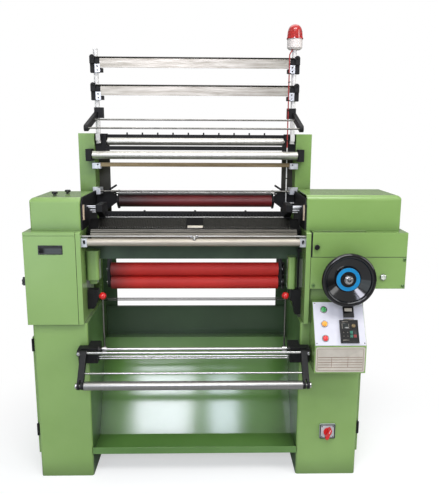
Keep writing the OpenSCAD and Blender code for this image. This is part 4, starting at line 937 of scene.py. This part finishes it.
# %% [markdown]
# Counter and buttons. The counter has two pale windows with a frame, and a strip under it that stays
# blank. A button cap is a cylinder whose top is inset upwards a few times, which gives a dome. Each
# cap moves with its own button, so it rides on that button's body.

# %% Counter windows and button caps
window = panel_block("counter_windows", (26, -48, 13), (60, -33, 14.4))
pick(window, looks(PANEL))
inset(1.6)
inset(0.5, -0.7)
done()
soften(window, 0.3)
repeat(window, up_panel(-21))
settle(window, "frame", "white_metal", plate_cream)
label = panel_block("counter_label", (19, -86, 3), (68, -80.5, 4))
pick(label, looks(PANEL))
inset(0.8, -0.3)
done()
settle(label, "frame", "white_metal", worn_steel)
BUTTON_X = -68
BUTTONS = (("green_button", -38, green_button_plastic),
           ("amber_button", -104, amber_button_plastic),
           ("red_button", -170, red_button_plastic))
for body, y, paint in BUTTONS:
    cap = disc(body + "_cap", on_panel(BUTTON_X, y, 9.6), 10.4, 1.6, PANEL)
    pick(cap, looks(PANEL))
    inset(1.2, 0.7)
    inset(2.4, 0.8)
    inset(3.2, 0.4)
    done()
    settle(cap, body, "grey_plastic", paint)
corner = screw("panel_screws", on_panel(-108, -8, 3.6), 3, PANEL)
repeat(corner, (216, 0, 0))
repeat(corner, up_panel(-184))
settle(corner, "frame", "chrome", bright_steel)

# %% [markdown]
# The main switch has a dark border round its plate, a screw in each corner and a pale line on the
# grip that shows which way it points, so that line turns with the grip. The handwheel ends in a
# hexagon nut with a centre hole, painted black as its shade.

# %% Main switch and handwheel
border = block("switch_border", (612.6, -9, 196.6), (687.4, -7.6, 271.4))
round_corners(border, FRONT, 4)
pick(border, looks(FRONT))
inset(5)
inset(0.3, -1.2)
done()
settle(border, "frame", "black_plastic", black_gloss)
corner = screw("switch_screws", (623, -8.8, 207), 3.2, FRONT)
repeat(corner, (54, 0, 0))
repeat(corner, (0, 0, 54))
settle(corner, "frame", "chrome", worn_steel)
switch_x, switch_z, slant = 650, 234, math.radians(20)
tip = spot(switch_x + 15 * math.sin(slant), -40.5, switch_z + 15 * math.cos(slant))
bpy.ops.object.select_all(action="DESELECT")
bpy.ops.mesh.primitive_cube_add(size=1, location=tip)
bpy.context.object.scale = (0.0026, 0.0012, 0.018)
bpy.context.object.rotation_euler = (0, slant, 0)
pointer = fresh("switch_pointer")
soften(pointer, 0.4)
settle(pointer, "main_switch", "white_metal", white_panel)
wheel_x, wheel_z = 689, 1030
nut = disc("wheel_nut", (wheel_x, -127, wheel_z), 17, 8, FRONT, sides=6)
pick(nut, looks(FRONT))
inset(2.4, 1.2)
inset(4.5)
inset(0.8, 3.4)
inset(2.6)
inset(0.4, -5)
done()
soften(nut, 0.4)
# The nut's centre hole is painted black: painted shade.
settle(nut, "drive", "chrome", bright_steel,
       (black_gloss, lambda x, y, z: math.hypot(x - wheel_x, z - wheel_z) < 6.2))

# %% [markdown]
# Needles and yarn guides. A crochet machine has one latch needle for each groove of the bed, and a
# fine tube that lays a yarn into it. One needle is modelled from a thin bar: its front end is pulled
# up into the hook and its shaft gets a butt. An Array modifier sets it along the bed at the pitch of
# the grooves, so it has only a few faces. The needles travel with the needle rail, and the tubes
# with the guide bar. On the rail, dark strips mark the joints between its steps, and a clamp strip
# with screws holds the needles down.

# %% Needles and yarn guides
BED_WIDTH, TEETH = 918, 116
groove = BED_WIDTH / TEETH
first = -BED_WIDTH / 2 + 0.975 * groove
needle = block("needles", (first - 0.6, 56, 1226.2), (first + 0.6, 100, 1228))
pick(needle, looks((0, 1, 0)))
bpy.ops.mesh.extrude_region_move(TRANSFORM_OT_translate={"value": (0, 0.004, 0.0008)})
bpy.ops.transform.resize(value=(0.8, 1, 0.7))
bpy.ops.mesh.extrude_region_move(TRANSFORM_OT_translate={"value": (0, 0.0012, 0.0022)})
bpy.ops.mesh.extrude_region_move(TRANSFORM_OT_translate={"value": (0, -0.003, 0.0012)})
done()
row(needle, TEETH - 1, (groove, 0, 0))
settle(needle, "needle_rail", "chrome", satin_steel)
joint = block("rail_joints", (-496, 45.8, 1211.9), (496, 47.4, 1215.2))
soften(joint, 0.3)
repeat(joint, (0, 7, 7))
settle(joint, "needle_rail", "black_plastic", oiled_black)
clamp = block("needle_clamp", (-456, 58, 1228.2), (456, 70, 1231))
pick(clamp, looks(UP))
inset(1.5, 0.6)
done()
soften(clamp, 0.5)
settle(clamp, "needle_rail", "alloy", dark_steel)
clamp_screw = screw("needle_clamp_screws", (-440, 64, 1232.4), 2.8, UP)
row(clamp_screw, 12, (80, 0, 0))
settle(clamp_screw, "needle_rail", "chrome", dark_steel)
tube = disc("yarn_guides", (first + 1.5 * groove, 217, 1269.4), 1.1, 42, (0, 1, 0.1), sides=8)
pick(tube, looks((0, -1, -0.1)))
bpy.ops.mesh.extrude_region_move(TRANSFORM_OT_translate={"value": (0, -0.004, -0.0024)})
bpy.ops.transform.resize(value=(0.7, 0.7, 0.7))
done()
row(tube, 55, (2 * groove, 0, 0))
settle(tube, "guides", "chrome", dark_steel)

# %% [markdown]
# Front of the head. A bright tab sits on the bed below its centre clamp, and a wing bolt locks the
# front bar. A wing bolt is a turned stem with two flat ears: the stem is a cylinder that is inset
# and pulled out, and each ear is a block that is narrowed at its root. The second ear is the first
# one turned by half a circle. The white end brackets of the bar get a slot, a black patch that paints its
# shade.

# %% Tab, wing bolt and bracket slots
slope = math.atan2(44, 60)
bpy.ops.object.select_all(action="DESELECT")
bpy.ops.mesh.primitive_cube_add(size=1, location=spot(3, 121.7, 1229.8))
bpy.context.object.scale = (0.074, 0.013, 0.002)
bpy.context.object.rotation_euler = (slope, 0, 0)
tab = fresh("bed_tab")
pick(tab, looks((0, -math.cos(slope), -math.sin(slope))))
bpy.ops.mesh.extrude_region_move(TRANSFORM_OT_translate={"value": (0, -0.0004, -0.004)})
done()
soften(tab, 0.5)
settle(tab, "frame", "alloy", drawn_alloy)
out = Vector((0, -0.45, 0.893))
foot = Vector((2, 10, 1175)) + out * 17
stem = disc("wing_bolt", foot + out * 4, 9, 8, out, sides=24)
pick(stem, looks(out))
inset(2.2, 1)
inset(0.4, 6)
inset(1.2, 1)
done()
crown = foot + out * 12
ear = block("wing_bolt_ear", crown + Vector((4, -2, -4)), crown + Vector((18, 2, 9)))
pick(ear, looks(LEFT))
bpy.ops.transform.resize(value=(1, 1, 0.55))
done()
soften(ear, 1.3, 3)
only(ear)
bpy.ops.object.duplicate()
other = bpy.context.object
other.rotation_euler = (0, 0, math.pi)
other.location = Vector((2 * spot(*crown).x, 2 * spot(*crown).y, 0))
join_to(stem, ear, fresh("wing_bolt_ear_two"))
settle(stem, "frame", "chrome", bright_steel)
# The bracket slots are black patches: painted shade.
slot = block("bracket_slots", (-504, -4.6, 1168), (-493, -3.4, 1187))
round_corners(slot, FRONT, 5)
pick(slot, looks(FRONT))
inset(1, -0.6)
done()
repeat(slot, (998, 0, 0))
settle(slot, "frame", "black_plastic", black_gloss)

# %% [markdown]
# Winding unit. The lugs of the winding brackets carry a bright bolt each, dark bolts hold the brackets,
# and the winding roller is kept between its arms by two collars. A collar is a short cylinder whose
# end faces are inset and pushed in, so it looks like a ring on the journal.

# %% Bolts and collars of the winding unit
bolt = hex_bolt("lug_bolts", (-532.6, -73, 665), 6, FRONT)
repeat(bolt, (1065.2, 0, 0))
settle(bolt, "frame", "chrome", bright_steel)
collar = disc("winder_collars", (529.5, -150, 546), 13.5, 7, RIGHT)
pick(collar, lambda face: abs(face.normal.x) > 0.9)
inset(2.4, 0.6)
inset(1.6, -0.6)
done()
soften(collar, 0.4)
repeat(collar, (-1059, 0, 0))
settle(collar, "winder", "chrome", bright_steel)
mount = hex_bolt("bracket_mounts", (-462, -43, 622), 5.5, FRONT)
repeat(mount, (924, 0, 0))
repeat(mount, (0, 0, 44))
settle(mount, "frame", "chrome", dark_steel)

# %% [markdown]
# Creel. The white tabs are screwed on, with a spare hole under the screw, a black disc that paints the
# hole's shade. Each rod clamp has a socket screw, and so has each bracket of the flat bar. A white sleeve
# guards each upright where it leaves its post. The lamp has a seam ring between base and dome, and its lead
# is tied to the frame with black ties, which are rings with a small head and a cut tail.

# %% Tabs, clamps, ties and lamp ring
TAB_X, ROD_CLAMP_X = 484, 508
BAR_STEP = YARN_BARS[1] - YARN_BARS[0]
tab_screw = screw("tab_screws", (-TAB_X, 387, 1989), 4, FRONT)
repeat(tab_screw, (2 * TAB_X, 0, 0))
repeat(tab_screw, (0, 0, BAR_STEP))
settle(tab_screw, "frame", "chrome", worn_steel)
# The tab holes are black discs: painted shade.
hole = disc("tab_holes", (-TAB_X, 388.2, 1970), 3.4, 1, FRONT, sides=20)
pick(hole, looks(FRONT))
inset(0.6, -0.5)
done()
repeat(hole, (2 * TAB_X, 0, 0))
repeat(hole, (0, 0, BAR_STEP))
settle(hole, "frame", "black_plastic", black_gloss)
set_screw = screw("rod_clamp_screws", (-ROD_CLAMP_X, 383, 2031), 4.6, FRONT)
repeat(set_screw, (2 * ROD_CLAMP_X, 0, 0))
repeat(set_screw, (0, 0, BAR_STEP))
settle(set_screw, "frame", "chrome", dark_steel)
tie = disc("cable_ties", (468, 389, 1960), 4.6, 3, UP, sides=20)
pick(tie, lambda face: abs(face.normal.z) > 0.9)
inset(0.8, -0.4)
done()
head = block("tie_head", (466, 382.6, 1957.6), (471, 386, 1962.4))
pick(head, looks(RIGHT))
bpy.ops.mesh.extrude_region_move(TRANSFORM_OT_translate={"value": (0.006, -0.001, 0.001)})
bpy.ops.transform.resize(value=(1, 0.5, 0.5))
done()
join_to(tie, head)
repeat(tie, (0, 0, -42), (0, 0, -130), (0, 0, -180), (0, 0, -330), (0, 0, -520))
settle(tie, "frame", "black_plastic", black_gloss)
sleeve = block("upright_sleeves", (-506, 393.5, 1626), (-484, 398.4, 1660))
round_corners(sleeve, UP, 2.2)
soften(sleeve, 0.4)
repeat(sleeve, (990, 0, 0))
settle(sleeve, "frame", "white_metal", white_paint)
pinch = screw("bar_clamp_screws", (-493, 355.2, 1509), 3.8, FRONT)
repeat(pinch, (986, 0, 0))
settle(pinch, "frame", "black_plastic", black_gloss)
ring = disc("lamp_seam", (495, 412, 2126), 38.6, 5, UP, sides=48)
pick(ring, lambda face: abs(face.normal.z) < 0.1)
bpy.ops.mesh.inset(thickness=0.0012, depth=-0.0006, use_boundary=False)
done()
soften(ring, 0.5)
settle(ring, "frame", "white_metal", cream_plastic)

# %% [markdown]
# Doors and back. Each service door has a key slot in its latch, a black bar that paints the slot's shade.
# Screws hold the rear panel;
# nobody sees them from the front, but the machine is walked round.

# %% Latches and rear screws
for body, x, way in (("left_door", -777, LEFT), ("right_door", 817, RIGHT)):
    latch = disc(body + "_latch", (x, 456, 415), 10, 3, way)
    pick(latch, looks(way))
    inset(1.4, 0.5)
    inset(2)
    inset(0.4, -1)
    done()
    soften(latch, 0.3)
    # The key slot is a black bar: painted shade.
    slot = block(body + "_key_slot", (x - 0.4, 455, 410), (x + 0.4, 457, 420))
    soften(slot, 0.3)
    settle(latch, body, "chrome", satin_steel)
    settle(slot, body, "black_plastic", black_gloss)
rear_screw = screw("rear_panel_screws", (-480, 504.4, 560), 5, (0, 1, 0))
row(rear_screw, 7, (160, 0, 0))
repeat(rear_screw, (0, 0, 150))
settle(rear_screw, "frame", "chrome", bright_steel)
